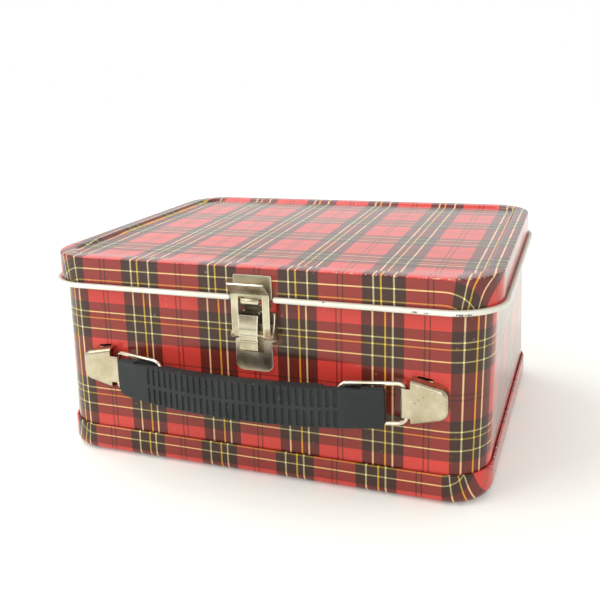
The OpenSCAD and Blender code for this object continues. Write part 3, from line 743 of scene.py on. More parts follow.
# %% Print of the lid
LID_KNOTS = ((-40.0, 0.8923), (-0.2, -0.0890), (20.0, -0.5192), (39.0, -1.0), (62.8, -1.5192), (81.0, -2.0),
             (106.0, -2.5192), (124.0, -3.0), (148.5, -3.5192), (166.0, -4.0), (210.0, -5.085))
LID_SHIFT = ((-97.0, -2.8), (-60.0, -0.85), (-51.0, -0.5), (-18.0, 0.75), (22.0, 0.42), (61.0, -0.52),
             (71.0, -0.68), (102.0, -0.1))
LID_START = 35
LID_FAN = 0.00028
LID_SKEW = 0.03
RIGHT_PULL = 0.011
RIGHT_PULL_MOST = 0.65
LEFT_PULLS = ((80, 92, 0.5), (92, 100, 1.1), (100, 107, 2.9))
LEFT_TURN = 0.059
CORNER_SPREAD = 0.9


def lid_print(x, y):
    """Where a spot of the flat lid sheet sits in the sett."""
    deep = y - FRONT
    shift = between(LID_SHIFT, x) * (1 - smooth(0, 50, deep)) + LID_FAN * max(0.0, deep) * x
    shift -= min(RIGHT_PULL_MOST, RIGHT_PULL * max(0.0, x - 5)) * smooth(5, 30, deep)
    left_pull = sum(most * smooth(start, full, -x) for start, full, most in LEFT_PULLS)
    shift -= left_pull * smooth(5, 45, deep)
    shift += LEFT_TURN * max(0.0, deep - 60) * smooth(86, 98, -x)
    spread = CORNER_SPREAD * smooth(1.5, 9, -deep) * smooth(93, 102, abs(x))
    askew = LID_SKEW * max(0.0, deep - 12)
    return (LID_START - x + shift + math.copysign(spread, x) - askew) / REPEAT, between(LID_KNOTS, deep)


print("the lid's front edge starts at", [round(v, 3) for v in lid_print(0, FRONT)], "in the sett")


# %% [markdown]
# Thin sheet is never flat, so the panel gets a slight wave from noise. The fold round the top is where the
# ink wears off, on this tin along its right half. A mask painted by hand could say where. A value at each
# point of the mesh does the same and needs no image.

# %% Lid
WORN_FOLD = range(10, 14)
WORN_FROM = 15
WORN_FULLY = 45
FOOT_WEAR = 0.25
PANEL_WAVE = 0.16
WAVE_GRAIN = 0.02
lid = new_mesh()
lid_section = lid_outer + lid_outline(SHEET)[::-1]
lid_rows = carry(lid, RING, lid_section, pressed_print(lid_outer, lid_print), len(lid_outer) - 1, False)
fill_middle(lid, PANEL_Z, MIDDLE_STEPS, lid_print, 0)
fill_middle(lid, PANEL_Z - SHEET, MIDDLE_STEPS, no_print, 1)
worn = lid.verts.layers.float["edge"]
for row in lid_rows:
    for i in WORN_FOLD:
        row[i][worn] = smooth(WORN_FROM, WORN_FULLY, row[i].co.x)
    row[len(lid_outer) - 1][worn] = FOOT_WEAR
for vert in lid.verts:
    if PANEL_Z - 1 < vert.co.z < PANEL_Z + 0.1:
        spot = Vector((vert.co.x * WAVE_GRAIN, vert.co.y * WAVE_GRAIN, 3.1))
        vert.co.z += PANEL_WAVE * noise.noise(spot)
place_piece("lid_tin_pressing", lid, "lid", (lid_tin, lacquer), ("lid_pan",))


# %% [markdown]
# The wall is a strip wrapped round the tin, with its ends joined in the middle of the back. Its print runs
# along its own length, so the stripes stay upright all the way round. The right front corner of this tin
# has been knocked in towards its foot. The mesh follows that, because the solids keep the regular form.

# %% Print and lean of the wall
NECK_Z = 87.6
WALL_KNOTS = ((WALL_LOW.z, -0.433), (20.5, 0.0), (39.3, 0.4808), (61.5, 1.0), (80.2, 1.4808),
              (NECK_Z, 1.654))
WALL_SHIFT = ((-100.0, -0.7), (-60.0, -0.3), (-20.0, 0.2), (20.0, 0.35), (60.0, 0.35), (85.0, 0.0),
              (105.0, -0.6))
WALL_START = 13.0
CORNER_STRETCH = 0.9
LEAN_TOP = 86
LEAN_START = -25
LEAN = 0.00019
CORNER_START = 92
CORNER_LEAN = 0.0004
PRINT_LEAN = 0.0011
run = [0.0]
for here, there in zip(RING, RING[1:]):
    x0, y0 = outward(here, CORNER_R)
    x1, y1 = outward(there, CORNER_R)
    stretch = 1.0 if here[2] == there[2] else CORNER_STRETCH
    run.append(run[-1] + stretch * math.hypot(x1 - x0, y1 - y0))
RUN_AT = {station: length - run[-1] / 2 for station, length in zip(RING, run)}


def lean_in(x, y, z):
    """How far the tin's right front corner has been knocked in towards its foot."""
    near_front = (HALF_Y - max(-HALF_Y, min(HALF_Y, y))) / (2 * HALF_Y)
    slope = LEAN * max(0.0, x - LEAN_START) + CORNER_LEAN * max(0.0, x - CORNER_START)
    return slope * max(0.0, LEAN_TOP - z) * near_front


def knock_in(mesh):
    """Lets a piece of the body follow that lean."""
    for vert in mesh.verts:
        vert.co.x -= lean_in(*vert.co)


def wall_print(station, height):
    """Where a spot of the wall sits in the sett. The stripes lean a little more than the metal."""
    along = RUN_AT[station]
    slope = LEAN * (max(-105.0, min(105.0, along)) - LEAN_START)
    slope += PRINT_LEAN * max(0.0, min(125.0, along) - CORNER_START)
    lean = slope * (LEAN_TOP - height) - lean_in(*outward(station, CORNER_R), height)
    shift = (between(WALL_SHIFT, along) - lean) * (1 - smooth(130, 260, abs(along)))
    return (along - WALL_START - shift) / REPEAT, between(WALL_KNOTS, height)


print("the wall's print runs on for", round(run[-1], 1), "mm")


# %% [markdown]
# The strip is carried round with both its faces, printed outside and lacquered inside. A Solidify modifier
# could add the inner face, but not its own finish with so little fuss. Each knot of the print has its own
# row of points, so the lying stripes keep their places.

# %% Wall
wall_heights = [WALL_LOW.z, 14.0, 20.5, 30.0, 39.3, 50.0, 61.5, 71.0, 80.2, 84.0, NECK_Z, WALL_HIGH.z]
wall_section = [(CORNER_R, z) for z in wall_heights] + [(CORNER_R - SHEET, z) for z in wall_heights[::-1]]
wall = new_mesh()
carry(wall, RING, wall_section, lambda station, i: wall_print(station, wall_section[i][1]),
      wall_heights.index(NECK_Z), True)
bmesh.ops.remove_doubles(wall, verts=wall.verts, dist=TOUCHING)
knock_in(wall)
wall_piece = place_piece("wall_tin_wrap", wall, "box", (wall_tin, lacquer), ("body_band",))


# %% [markdown]
# Each clip's tabs pass through two slits cut in the front wall, and a sliver of each slit stays open above
# and below the clip. Painted black marks would do from afar. A boolean cuts them right through instead, so
# that the dark inside shows from every side.

# %% Slits beside the clips
HANDLE_X = 0.9
HANDLE_Z = 48.8
CLIP_X = 76.0
CLIP_L = 16.2
CLIP_HIGH = 10.2
CLIP_END = 7.8
TAB_X = CLIP_X + 6.5
CLIP_SLOPE = math.degrees(math.atan2(CLIP_HIGH - CLIP_END, CLIP_L))
CLIP_AT_TAB = CLIP_HIGH - math.tan(math.radians(CLIP_SLOPE)) * (TAB_X - CLIP_X)
SLIT_SIZE = (7.0, 6.0, 1.4)
SLIT_DROP = 0.2
cutter = bmesh.new()
for side, slit_x in ((-1, TAB_X), (1, TAB_X - 1)):
    for end in (-1, 1):
        height = HANDLE_Z + end * (CLIP_AT_TAB - SLIT_DROP)
        spot = Matrix.Translation((HANDLE_X + side * slit_x, FRONT, height))
        tilt = Matrix.Rotation(math.radians(side * end * CLIP_SLOPE), 4, "Y")
        shape = Matrix.Scale(MM, 4) @ spot @ tilt @ Matrix.Diagonal((*SLIT_SIZE, 1))
        bmesh.ops.create_cube(cutter, size=1.0, matrix=shape)
cutter_data = bpy.data.meshes.new("slit_cutter")
cutter.to_mesh(cutter_data)
cutter.free()
cutter_object = add_object("slit_cutter", cutter_data)
slit = wall_piece.modifiers.new("slits", "BOOLEAN")
slit.object = cutter_object
slit.solver = "EXACT"
graph = bpy.context.evaluated_depsgraph_get()
cut_data = bpy.data.meshes.new_from_object(wall_piece.evaluated_get(graph), depsgraph=graph)
wall_piece.modifiers.clear()
wall_piece.data = cut_data
bpy.data.objects.remove(cutter_object)
print("wall with slits has", len(cut_data.polygons), "faces")


# %% [markdown]
# The pan is pressed like the lid and pushed over the wall's foot. Its lip is turned in against the wall,
# which leaves a small step all the way round. It is made as the lid is, from a half section, and its print
# is squeezed a little where the sheet bends up from the floor.

# %% Pan
PAN_TOP = PAN_HIGH.z
PAN_EDGE = 5
LIP_R = 0.9
PAN_REPEAT = 39.7
PAN_START = 10.5
PAN_SHIFT = ((-90.0, -0.7), (-60.0, 0.1), (-25.0, 0.4), (15.0, 0.1), (55.0, -0.35), (95.0, -0.4))
PAN_MID = 4.0
SQUEEZE = 0.3
SQUEEZE_MOST = 4.5
HEEL_POINT = 6
DARK_PAST_HEEL = 1.55


def pan_outline(inset):
    """Half section of the pan's sheet, moved in by an amount."""
    heel = arc(PAN_R - PAN_EDGE, PAN_EDGE, PAN_EDGE - inset, -90, 0, 9)
    side = [(PAN_R - inset, PAN_EDGE + (PAN_TOP - LIP_R - PAN_EDGE) * i / 3) for i in range(1, 3)]
    lip = arc(PAN_R - LIP_R, PAN_TOP - LIP_R, LIP_R - inset, 0, 90, 4)
    tuck = [(CORNER_R + 0.45, PAN_TOP - inset), (CORNER_R + 0.02, PAN_TOP - 0.8 - inset)]
    return [(0.0, inset)] + heel + side + lip + tuck


pan_outer = pan_outline(0.0)
PAN_DARK = blank_radii(pan_outer)[0][HEEL_POINT] + DARK_PAST_HEEL


def pan_print(x, y):
    """Where a spot of the flat pan sheet sits in the sett."""
    across = x - lean_in(x, y, PAN_MID) - PAN_START - between(PAN_SHIFT, x)
    rise = -y - HALF_Y - PAN_DARK
    rise -= SQUEEZE * max(0.0, min(SQUEEZE_MOST, LINES[1][0] - rise))
    return across / PAN_REPEAT, rise / REPEAT


pan = new_mesh()
pan_section = pan_outer + pan_outline(SHEET)[::-1]
pan_rows = carry(pan, RING, pan_section, pressed_print(pan_outer, pan_print), len(pan_outer) - 1, True)
fill_middle(pan, 0.0, MIDDLE_STEPS, pan_print, 0)
fill_middle(pan, SHEET, MIDDLE_STEPS, no_print, 1)
worn = pan.verts.layers.float["edge"]
for row in pan_rows:
    for i in range(len(pan_outer) - 7, len(pan_outer) - 1):
        row[i][worn] = 1.0
knock_in(pan)
place_piece("pan_tin_pressing", pan, "box", (pan_tin, lacquer), ("back_pan",))


# %% [markdown]
# The lid's edge is rolled over a wire and painted cream. The roll stops with rounded ends at the latch, and
# again at each hinge. A bevelled curve would make the roll in one step, but with flat ends, so it is built
# from rings. The rings at each end shrink to a dome.

# %% Rolled edge of the lid
BEAD_R = 1.4
BEAD_Z = 90.0
BEAD_OUT = CORNER_R + 4.404
BEAD_SIDES = 16
BEAD_DOME = [math.radians(a) for a in (80, 55, 28)]
GAP_LEFT = -7.6
GAP_RIGHT = 13.5
HINGE_X = 55
HINGE_GAP = 16.5


def bead_ring(mesh, station, shift, size):
    """One ring of the roll, pushed along the path and shrunk for its rounded ends."""
    angle = math.radians(station[2])
    x, y = outward(station, BEAD_OUT)
    x -= math.sin(angle) * shift
    y += math.cos(angle) * shift
    ring = []
    for r, z in arc(0, BEAD_Z, BEAD_R * size, 0, 360, BEAD_SIDES)[:-1]:
        vert = mesh.verts.new((x + r * math.cos(angle), y + r * math.sin(angle), z))
        # The edge value grows towards the roll's top and bottom, and the cream paint turns it into painted
        # shade.
        vert[mesh.verts.layers.float["edge"]] = abs(z - BEAD_Z) / BEAD_R
        ring.append(vert)
    return ring


def bead_length(mesh, path):
    """One length of the roll with two domed ends."""
    rings = [bead_ring(mesh, path[0], -BEAD_R * math.sin(a), math.cos(a)) for a in BEAD_DOME]
    rings += [bead_ring(mesh, s, 0.0, 1.0) for s in path]
    rings += [bead_ring(mesh, path[-1], BEAD_R * math.sin(a), math.cos(a)) for a in BEAD_DOME[::-1]]
    bridge(mesh, rings)


bead = new_mesh()
inner = HINGE_X - HINGE_GAP - BEAD_R
outer = HINGE_X + HINGE_GAP + BEAD_R
bead_length(bead, leg(GAP_RIGHT + BEAD_R, -HALF_Y, HALF_X, -HALF_Y, 270, 8) + quarter(HALF_X, -HALF_Y, 270)
            + leg(HALF_X, -HALF_Y, HALF_X, HALF_Y, 360, 12) + quarter(HALF_X, HALF_Y, 360)
            + leg(HALF_X, HALF_Y, outer, HALF_Y, 450, 3))
bead_length(bead, leg(-outer, HALF_Y, -HALF_X, HALF_Y, 90, 3) + quarter(-HALF_X, HALF_Y, 90)
            + leg(-HALF_X, HALF_Y, -HALF_X, -HALF_Y, 180, 12) + quarter(-HALF_X, -HALF_Y, 180)
            + leg(-HALF_X, -HALF_Y, GAP_LEFT - BEAD_R, -HALF_Y, 270, 8))
bead_length(bead, leg(inner, HALF_Y, -inner, HALF_Y, 90, 6))
place_piece("lid_rolled_edge", bead, "lid", (cream,), ("lid_bead",))


# %% [markdown]
# Inside the lid the wall's neck is finished with a smaller roll, so no raw edge is left where hands go. It
# is most of a circle, flattened where it lies against the wall, and it is carried along the same path.

# %% Rolled rim of the neck
NECK_R = 1.0
NECK_OUT = CORNER_R + 0.86
neck_roll = arc(NECK_OUT, box_mm("body_rim")[1].z - NECK_R, NECK_R, -149, 149, 14)
neck_section = [(max(r, CORNER_R), z) for r, z in neck_roll]
rim = new_mesh()
carry(rim, RING, neck_section, no_print, len(neck_section), True)
place_piece("neck_rolled_rim", rim, "box", (lacquer,), ("body_rim",))


# %% [markdown]
# The latch and the hinges are bent from strip. A bent sheet is described by its columns across, a path of
# points along its middle surface and a rule for which cells are metal. A Solidify modifier could thicken a
# single skin, but here both skins are made at once and closed along every edge, windows too. Flat blanks
# are simpler: an outline given a thickness.

# %% Sheet metal helpers
def on_front(x, out, z):
    """A point in front of the front wall."""
    return x, FRONT - out, z


def on_back(x, out, z):
    """A point behind the back wall."""
    return x, BACK + out, z


def every_cell(i, j):
    """The rule for sheets without openings."""
    return True


def bent_sheet(mesh, columns, path, thick, keep, place):
    """Two skins on both sides of a bent middle surface, closed along every edge."""
    last = len(path) - 1
    sides = []
    for j in range(last + 1):
        back = path[max(j - 1, 0)]
        ahead = path[min(j + 1, last)]
        sides.append(Vector((ahead[1] - back[1], back[0] - ahead[0])).normalized() * (thick / 2))
    points = {}

    def point(i, j, side):
        if (i, j, side) not in points:
            out = path[j][0] + sides[j].x * side
            height = path[j][1] + sides[j].y * side
            points[(i, j, side)] = mesh.verts.new(place(columns[i], out, height))
        return points[(i, j, side)]

    cells = [(i, j) for i in range(len(columns) - 1) for j in range(last) if keep(i, j)]
    for i, j in cells:
        corners = ((i, j), (i + 1, j), (i + 1, j + 1), (i, j + 1))
        for side in (-1, 1):
            mesh.faces.new([point(*corner, side) for corner in corners])
        borders = (((i - 1, j), (i, j), (i, j + 1)), ((i + 1, j), (i + 1, j), (i + 1, j + 1)),
                   ((i, j - 1), (i, j), (i + 1, j)), ((i, j + 1), (i, j + 1), (i + 1, j + 1)))
        for beside, start, end in borders:
            if beside not in cells:
                mesh.faces.new((point(*start, -1), point(*end, -1), point(*end, 1), point(*start, 1)))


def slab(mesh, outline, low, high, place):
    """A flat blank: an outline given a thickness. Returns its upper face."""
    under = [mesh.verts.new(place(u, v, low)) for u, v in outline]
    over = [mesh.verts.new(place(u, v, high)) for u, v in outline]
    mesh.faces.new(under)
    top = mesh.faces.new(over[::-1])
    for i in range(len(outline)):
        j = (i + 1) % len(outline)
        mesh.faces.new((under[i], under[j], over[j], over[i]))
    return top


print("sheet metal helpers ready, front wall at", round(FRONT, 2), "and back wall at", round(BACK, 2))


# %% [markdown]
# The strike is a plate spot-welded to the lid. A tab in its middle is rolled under into the hook that the
# hasp's crossbar snaps over. The plate is a slab and the hook a bent sheet. They are softened apart,
# because one bevel over both would tear where they meet.

# %% Latch strike
LATCH_X = 2.1
LATCH_T = 0.8
PLATE_R = 0.9
HOOK_HALF = 4.5
HOOK_R = 0.8
HOOK_OUT = LID_OUT + 1.2
STRIKE_LOW, STRIKE_HIGH = box_mm("latch_strike")
strike_foot = LID_FOOT + 1.4
strike_top = STRIKE_HIGH.z - PLATE_R
plate = (arc(STRIKE_HIGH.x - PLATE_R, strike_top, PLATE_R, 0, 90, 4)
         + arc(STRIKE_LOW.x + PLATE_R, strike_top, PLATE_R, 90, 180, 4)
         + [(STRIKE_LOW.x, strike_foot), (STRIKE_HIGH.x, strike_foot)])
strike = new_mesh()
slab(strike, plate, LID_OUT, LID_OUT + LATCH_T, lambda x, z, out: on_front(x, out, z))
soften(strike, 0.22)
roll = [(LID_OUT + LATCH_T / 2, 91.0), (LID_OUT + LATCH_T / 2, 89.6)]
roll += arc(HOOK_OUT, 88.05, HOOK_R, 180, 360, 8) + arc(HOOK_OUT, 88.75, HOOK_R, 0, 150, 7)
hook = new_mesh()
hook_columns = (LATCH_X - HOOK_HALF, LATCH_X, LATCH_X + HOOK_HALF)
bent_sheet(hook, hook_columns, roll, LATCH_T - 0.02, every_cell, on_front)
soften(hook, 0.18)
# The hook gets the brighter latch nickel as a painted highlight, though it is the same sheet as the plate.
for face in hook.faces:
    face.material_index = 1
merge_into(strike, hook)
place_piece("latch_strike_plate", strike, "lid", (strike_nickel, nickel), ("latch_strike",))


# %% [markdown]
# The base plate is riveted to the wall. It has a rounded lower end with a pressed field, and its two upper
# corners are folded out into ears that carry the hasp's pin. The ears are slabs of their own, and the part
# of the plate behind the hasp gets a darker copy of the nickel as painted shade.

# %% Latch base
BASE_LOW, BASE_HIGH = box_mm("latch_base")
PIN_OUT = 4.94
PIN_Z = 72.6
PIN_EYE = 1.75
PLATE_X = LATCH_X - 0.6
PLATE_HALF = 9.5
FOOT_R = 4
EAR_X = LATCH_X + 0.95
EAR_HALF = 10.55
EAR_FOOT = 69.1
TAB_TOP = 86.3
SHADE_FROM = 77
foot_z = BASE_LOW.z + FOOT_R
top_z = BASE_HIGH.z
blank = arc(PLATE_X - PLATE_HALF + FOOT_R, foot_z, FOOT_R, 180, 270, 8)
blank += arc(PLATE_X + PLATE_HALF - FOOT_R, foot_z, FOOT_R, 270, 360, 8)
blank += [(PLATE_X + PLATE_HALF, EAR_FOOT - 1), (EAR_X + EAR_HALF, EAR_FOOT), (EAR_X + EAR_HALF, top_z)]
blank += [(LATCH_X + 4, top_z), (LATCH_X + 4, TAB_TOP), (LATCH_X - 5, TAB_TOP), (LATCH_X - 5, top_z)]
blank += [(EAR_X - EAR_HALF, top_z), (EAR_X - EAR_HALF, EAR_FOOT), (PLATE_X - PLATE_HALF, EAR_FOOT - 1)]
base = new_mesh()
field = slab(base, blank, 0.0, LATCH_T, lambda x, z, out: on_front(x, out, z))
bmesh.ops.inset_region(base, faces=[field], thickness=1.1, depth=0.0)
bmesh.ops.inset_region(base, faces=[field], thickness=0.5, depth=-0.3)
ear = [(0.2, EAR_FOOT), (1.6, EAR_FOOT + 0.5)] + arc(PIN_OUT, PIN_Z, PIN_EYE, -90, 90, 8)
ear += [(3.2, top_z - 4), (2.4, top_z), (0.2, top_z)]
for side in (-1, 1):
    start = EAR_X + side * EAR_HALF
    slab(base, ear, start, start - side * LATCH_T, lambda out, z, x: on_front(x, out, z))
soften(base, 0.24)
everything = base.verts[:] + base.edges[:] + base.faces[:]
# The plate is cut at SHADE_FROM, and the faces above it that lie against the wall behind the hasp get the
# darker nickel as painted shade.
bmesh.ops.bisect_plane(base, geom=everything, plane_co=(0, 0, SHADE_FROM), plane_no=(0, 0, 1))
for face in base.faces:
    spot = face.calc_center_median()
    face.material_index = 1 if spot.z > SHADE_FROM and FRONT - spot.y < 1.2 else 0
place_piece("latch_base_plate", base, "box", (base_nickel, shade_nickel), ("latch_base",))


# %% [markdown]
# The tongue is a pressed cup with an open top. Three ridges across its face give the thumb a grip when the
# hasp is pushed up. Its side view is drawn once and set on both sides, a little narrower towards the foot,
# and the mouth is sunk into the top.

# %% Latch tongue
TONGUE_LOW, TONGUE_HIGH = box_mm("latch_tongue")
TONGUE_HALF = (TONGUE_HIGH.x - TONGUE_LOW.x) / 2
TONGUE_OUT = 8.2
TONGUE_CHIN = 1.6
RIDGE_Z = 69.7
RIDGE_STEP = 2.6
RIDGE_TALL = 1.4
RIDGE_OUT = 0.16
MOUTH_DEEP = 9.0
TAPER_TOP = 76
TAPER_TALL = 17
TAPER = 0.35
side_view = [(LATCH_T, 62.6)] + arc(TONGUE_OUT - TONGUE_CHIN, 66.6, TONGUE_CHIN, -70, 0, 6)
for ridge in range(3):
    for t in range(7):
        rise = RIDGE_Z + RIDGE_STEP * ridge + RIDGE_TALL * t / 6
        side_view.append((TONGUE_OUT + RIDGE_OUT * math.sin(math.pi * t / 6), rise))
side_view += [(TONGUE_OUT - 0.1, 77.6), (TONGUE_OUT - 1.1, TONGUE_HIGH.z), (LATCH_T, TONGUE_HIGH.z)]
tongue = new_mesh()
skins = []
for side in (-1, 1):
    skin = []
    for out, z in side_view:
        narrowing = TAPER * max(0.0, (TAPER_TOP - z) / TAPER_TALL)
        skin.append(tongue.verts.new(on_front(LATCH_X + side * (TONGUE_HALF - narrowing), out, z)))
    skins.append(skin)
    tongue.faces.new(skin)
walls = []
for i in range(len(side_view)):
    j = (i + 1) % len(side_view)
    walls.append(tongue.faces.new((skins[0][i], skins[0][j], skins[1][j], skins[1][i])))
mouth = walls[len(side_view) - 2]
bmesh.ops.recalc_face_normals(tongue, faces=tongue.faces)
bmesh.ops.inset_region(tongue, faces=[mouth], thickness=0.8, depth=0.0)
for vert in mouth.verts:
    vert.co.z -= MOUTH_DEEP
soften(tongue, 0.32, 60, 3)
place_piece("latch_tongue_cup", tongue, "box", (nickel,), ("latch_tongue",), 50)


# %% [markdown]
# The hasp is one strip with a window. Its two arms curl round the pin, the crossbar between them snaps over
# the hook, and the top is flared out into a lip for the thumb. One bent sheet gives all of it, because the
# rule for its cells can leave the window out.

# %% Latch hasp
HASP_MID = 6.4
HASP_X = LATCH_X + 0.95
HASP_HALF = 9.55
WINDOW_HALF = 6.0
LIP_FROM = 90.4
LIP_BEND = 6
FLARE = 41
LIP_STEP = 0.92
LIP_NARROWING = 0.05
curl = arc(PIN_OUT, PIN_Z, HASP_MID - PIN_OUT, -300, 0, 16)
climb = [(HASP_MID, z) for z in (75.0, 80.0, 86.0, 89.5)]
lip = arc(HASP_MID + LIP_BEND, LIP_FROM, LIP_BEND, 180, 180 - FLARE, 8)
tip_out, tip_z = lip[-1]
lip_rise = LIP_STEP / math.tan(math.radians(FLARE))
lip += [(tip_out + LIP_STEP * k, tip_z + lip_rise * k) for k in (1, 2, 3, 4)]
window_row = len(curl) + len(climb) + 2
hasp_columns = [HASP_X + c for c in (-HASP_HALF, -WINDOW_HALF, 0, WINDOW_HALF, HASP_HALF)]


def hasp_metal(i, j):
    """Only the two arms are metal below the crossbar."""
    return j >= window_row or i in (0, 3)


hasp = new_mesh()
bent_sheet(hasp, hasp_columns, curl + climb + lip, LATCH_T, hasp_metal, on_front)
for vert in hasp.verts:
    vert.co.x -= (vert.co.x - HASP_X) * LIP_NARROWING * smooth(94, 98, vert.co.z)
soften(hasp, 0.22)
place_piece("latch_hasp_strip", hasp, "hasp", (nickel,), ("latch_hasp",))


# %% [markdown]
# The hasp turns on a short pin whose ends are peened over flat against the ears. A cylinder would have
# square ends, so the pin is turned from a short list of steps, each a distance past the ear and a radius.

# %% Hasp pin
PEENED_END = ((0.3, 0.35), (0.28, 0.8), (0.16, 1.15), (-0.05, 1.2), (-0.1, 1.0))
PIN_SIDES = 16
pin_steps = [(EAR_HALF + past, radius) for past, radius in PEENED_END]
pin_steps += [(-x, radius) for x, radius in pin_steps[::-1]]
pin = new_mesh()
pin_rings = []
for x, radius in pin_steps:
    around = arc(PIN_OUT, PIN_Z, radius, 0, 360, PIN_SIDES)[:-1]
    pin_rings.append([pin.verts.new(on_front(EAR_X + x, out, z)) for out, z in around])
bridge(pin, pin_rings)
place_piece("latch_hasp_pin", pin, "box", (nickel,), ("latch_pin",))


# %% [markdown]
# Two pressed clips hold the handle's wire loops. Each is a small shell with a soft front edge, open toward
# the handle. The shell could be a bevelled block, but it is hollow on the real box and one can look into
# it, so an outer and an inner skin are stacked from one shrinking outline.

# %% Shell of a clip
CLIP_LOW = 10.7
CLIP_R = 5
CLIP_DEEP = 6.3
CLIP_T = 0.8
CLIP_BEND = 2.2


def clip_outline(shrink):
    """Front outline of the shell as x from the handle's middle and height from the clips' middle."""
    end = CLIP_X + CLIP_L - CLIP_R
    low = arc(end, CLIP_R - CLIP_END, CLIP_R - shrink, -90 + CLIP_SLOPE, 0, 8)
    high = arc(end, CLIP_END - CLIP_R, CLIP_R - shrink, 0, 90 - CLIP_SLOPE, 8)
    return [(CLIP_X, shrink - CLIP_LOW)] + low + high + [(CLIP_X, CLIP_HIGH - shrink)]


def clip_shell(mesh, place):
    """The shell's outer and inner skins with a rounded front edge."""
    flat = CLIP_DEEP - CLIP_BEND
    outside = [(CLIP_BEND - r, out) for r, out in arc(0, flat, CLIP_BEND, 0, 90, 6)]
    inside = [(CLIP_BEND - r, out) for r, out in arc(0, flat, CLIP_BEND - CLIP_T, 90, 0, 6)]
    skin = [(0.0, 0.0)] + outside + inside + [(CLIP_T, 0.0)]
    rings = [[mesh.verts.new(place(x, out, z)) for x, z in clip_outline(shrink)] for shrink, out in skin]
    count = len(rings[0])
    fold = len(outside)
    for k, (here, there) in enumerate(zip(rings, rings[1:] + rings[:1])):
        if k != fold:
            for i in range(count - 1):
                mesh.faces.new((here[i], here[i + 1], there[i + 1], there[i]))
    for ring in (rings[fold], rings[fold + 1]):
        for i in range(count // 2 - 1):
            mesh.faces.new((ring[i], ring[i + 1], ring[count - 2 - i], ring[count - 1 - i]))
    for k in range(fold):
        twin = len(rings) - 1 - k
        for i in (0, count - 1):
            mesh.faces.new((rings[k][i], rings[k + 1][i], rings[twin - 1][i], rings[twin][i]))
    mesh.faces.new((rings[fold][0], rings[fold][-1], rings[fold + 1][-1], rings[fold + 1][0]))


print("a clip's outline has", len(clip_outline(0.0)), "points")


# %% [markdown]
# A nose on each clip is hooked behind the loop's outer bar, and two tabs reach through the slits and are
# bent over inside the tin. They are bent sheets, softened before they join the shell.

# %% Handle clips
BAIL_Z = 47.1
NOSE_OUT = CLIP_DEEP - 0.44
NOSE_R = 1.2
NOSE_X = CLIP_X - 3.2
NOSE_HOOK = 4.5
NOSE_LOW = 41.5
NOSE_HIGH = 54.9
NOSE_FULL_ROWS = 4
TAB_HALF = 2.5
TAB_T = 0.55
TAB_DROP = 0.75
nose = [(NOSE_OUT, CLIP_X + 1.5), (NOSE_OUT, NOSE_X)]
nose += arc(NOSE_OUT - NOSE_R, NOSE_X, NOSE_R, 0, -90, 5)
nose += [(3.0, NOSE_X - NOSE_R), (1.7, NOSE_X - NOSE_R)]
nose_columns = [NOSE_LOW, BAIL_Z - NOSE_HOOK, BAIL_Z + NOSE_HOOK, NOSE_HIGH]
tab = [(0.9, 0.0), (-0.5, 0.0)] + arc(-0.5, -0.5, 0.5, 90, 180, 3) + [(-1.0, -3.6)]


def nose_metal(i, j):
    """The nose is full height in front, and only its middle is hooked back."""
    return i == 1 or j < NOSE_FULL_ROWS


def clip_piece(name, side, node):
    """A clip on one side of the handle."""
    def shell_place(x, out, z):
        return HANDLE_X + side * x, FRONT - out, HANDLE_Z + z

    def nose_place(z, out, x):
        return HANDLE_X + side * x, FRONT - out, z

    mesh = new_mesh()
    clip_shell(mesh, shell_place)
    flaps = new_mesh()
    bent_sheet(flaps, nose_columns, nose, CLIP_T, nose_metal, nose_place)
    for end in (-1, 1):
        def tab_place(x, out, rise):
            return shell_place(x, out, end * (CLIP_AT_TAB - TAB_DROP + rise))

        bent_sheet(flaps, (TAB_X - TAB_HALF, TAB_X + TAB_HALF), tab, TAB_T, every_cell, tab_place)
    soften(flaps, 0.2)
    merge_into(mesh, flaps)
    return place_piece(name, mesh, "box", (clip_nickel,), (node,), 55)


clip_piece("clip_left_pressing", -1, "handle_clip_left")
clip_piece("clip_right_pressing", 1, "handle_clip_right")


# %% [markdown]
# The loops are bent from round wire. The outer bar turns in its clip and the inner bar sits in a slot
# behind the grip, so the handle can be drawn out from the wall. A bevelled curve would do as well. Rings
# along four arcs and four straights are chosen, because the two loops are then exact mirror images.

# %% Wire loops
BAIL_X = 74.0
BAIL_L = 30.0
BAIL_H = 18.6
BAIL_OUT = 3.2
BAIL_REST = math.radians(13.4)
BEND = 4.2
WIRE_R = 1.1
WIRE_SIDES = 14


def loop_line():
    """The wire's middle line in the loop's own plane, from the outer bar inward."""
    near, far = -BEND, BEND - BAIL_L
    high = BAIL_H / 2 - BEND
    line = arc(near, high, BEND, 0, 90, 8) + arc(far, high, BEND, 90, 180, 8)
    return line + arc(far, -high, BEND, 180, 270, 8) + arc(near, -high, BEND, 270, 360, 8)


def wire_loop(name, side, body, node):
    """A closed loop of round wire at rest."""
    line = loop_line()
    mesh = new_mesh()
    rings = []
    for k, (along, rise) in enumerate(line):
        heading = (Vector(line[(k + 1) % len(line)]) - Vector(line[k - 1])).normalized()
        ring = []
        for cross, w in arc(0, 0, WIRE_R, 0, 360, WIRE_SIDES)[:-1]:
            u = along + heading.y * cross
            v = rise - heading.x * cross
            x = BAIL_X + u * math.cos(BAIL_REST) + w * math.sin(BAIL_REST)
            out = BAIL_OUT - u * math.sin(BAIL_REST) + w * math.cos(BAIL_REST)
            ring.append(mesh.verts.new((HANDLE_X + side * x, FRONT - out, BAIL_Z + v)))
        rings.append(ring)
    bridge(mesh, rings, endless=True)
    return place_piece(name, mesh, body, (wire_steel,), (node,))


wire_loop("loop_left_wire", -1, "bail_left", "handle_bail_left")
wire_loop("loop_right_wire", 1, "bail_right", "handle_bail_right")


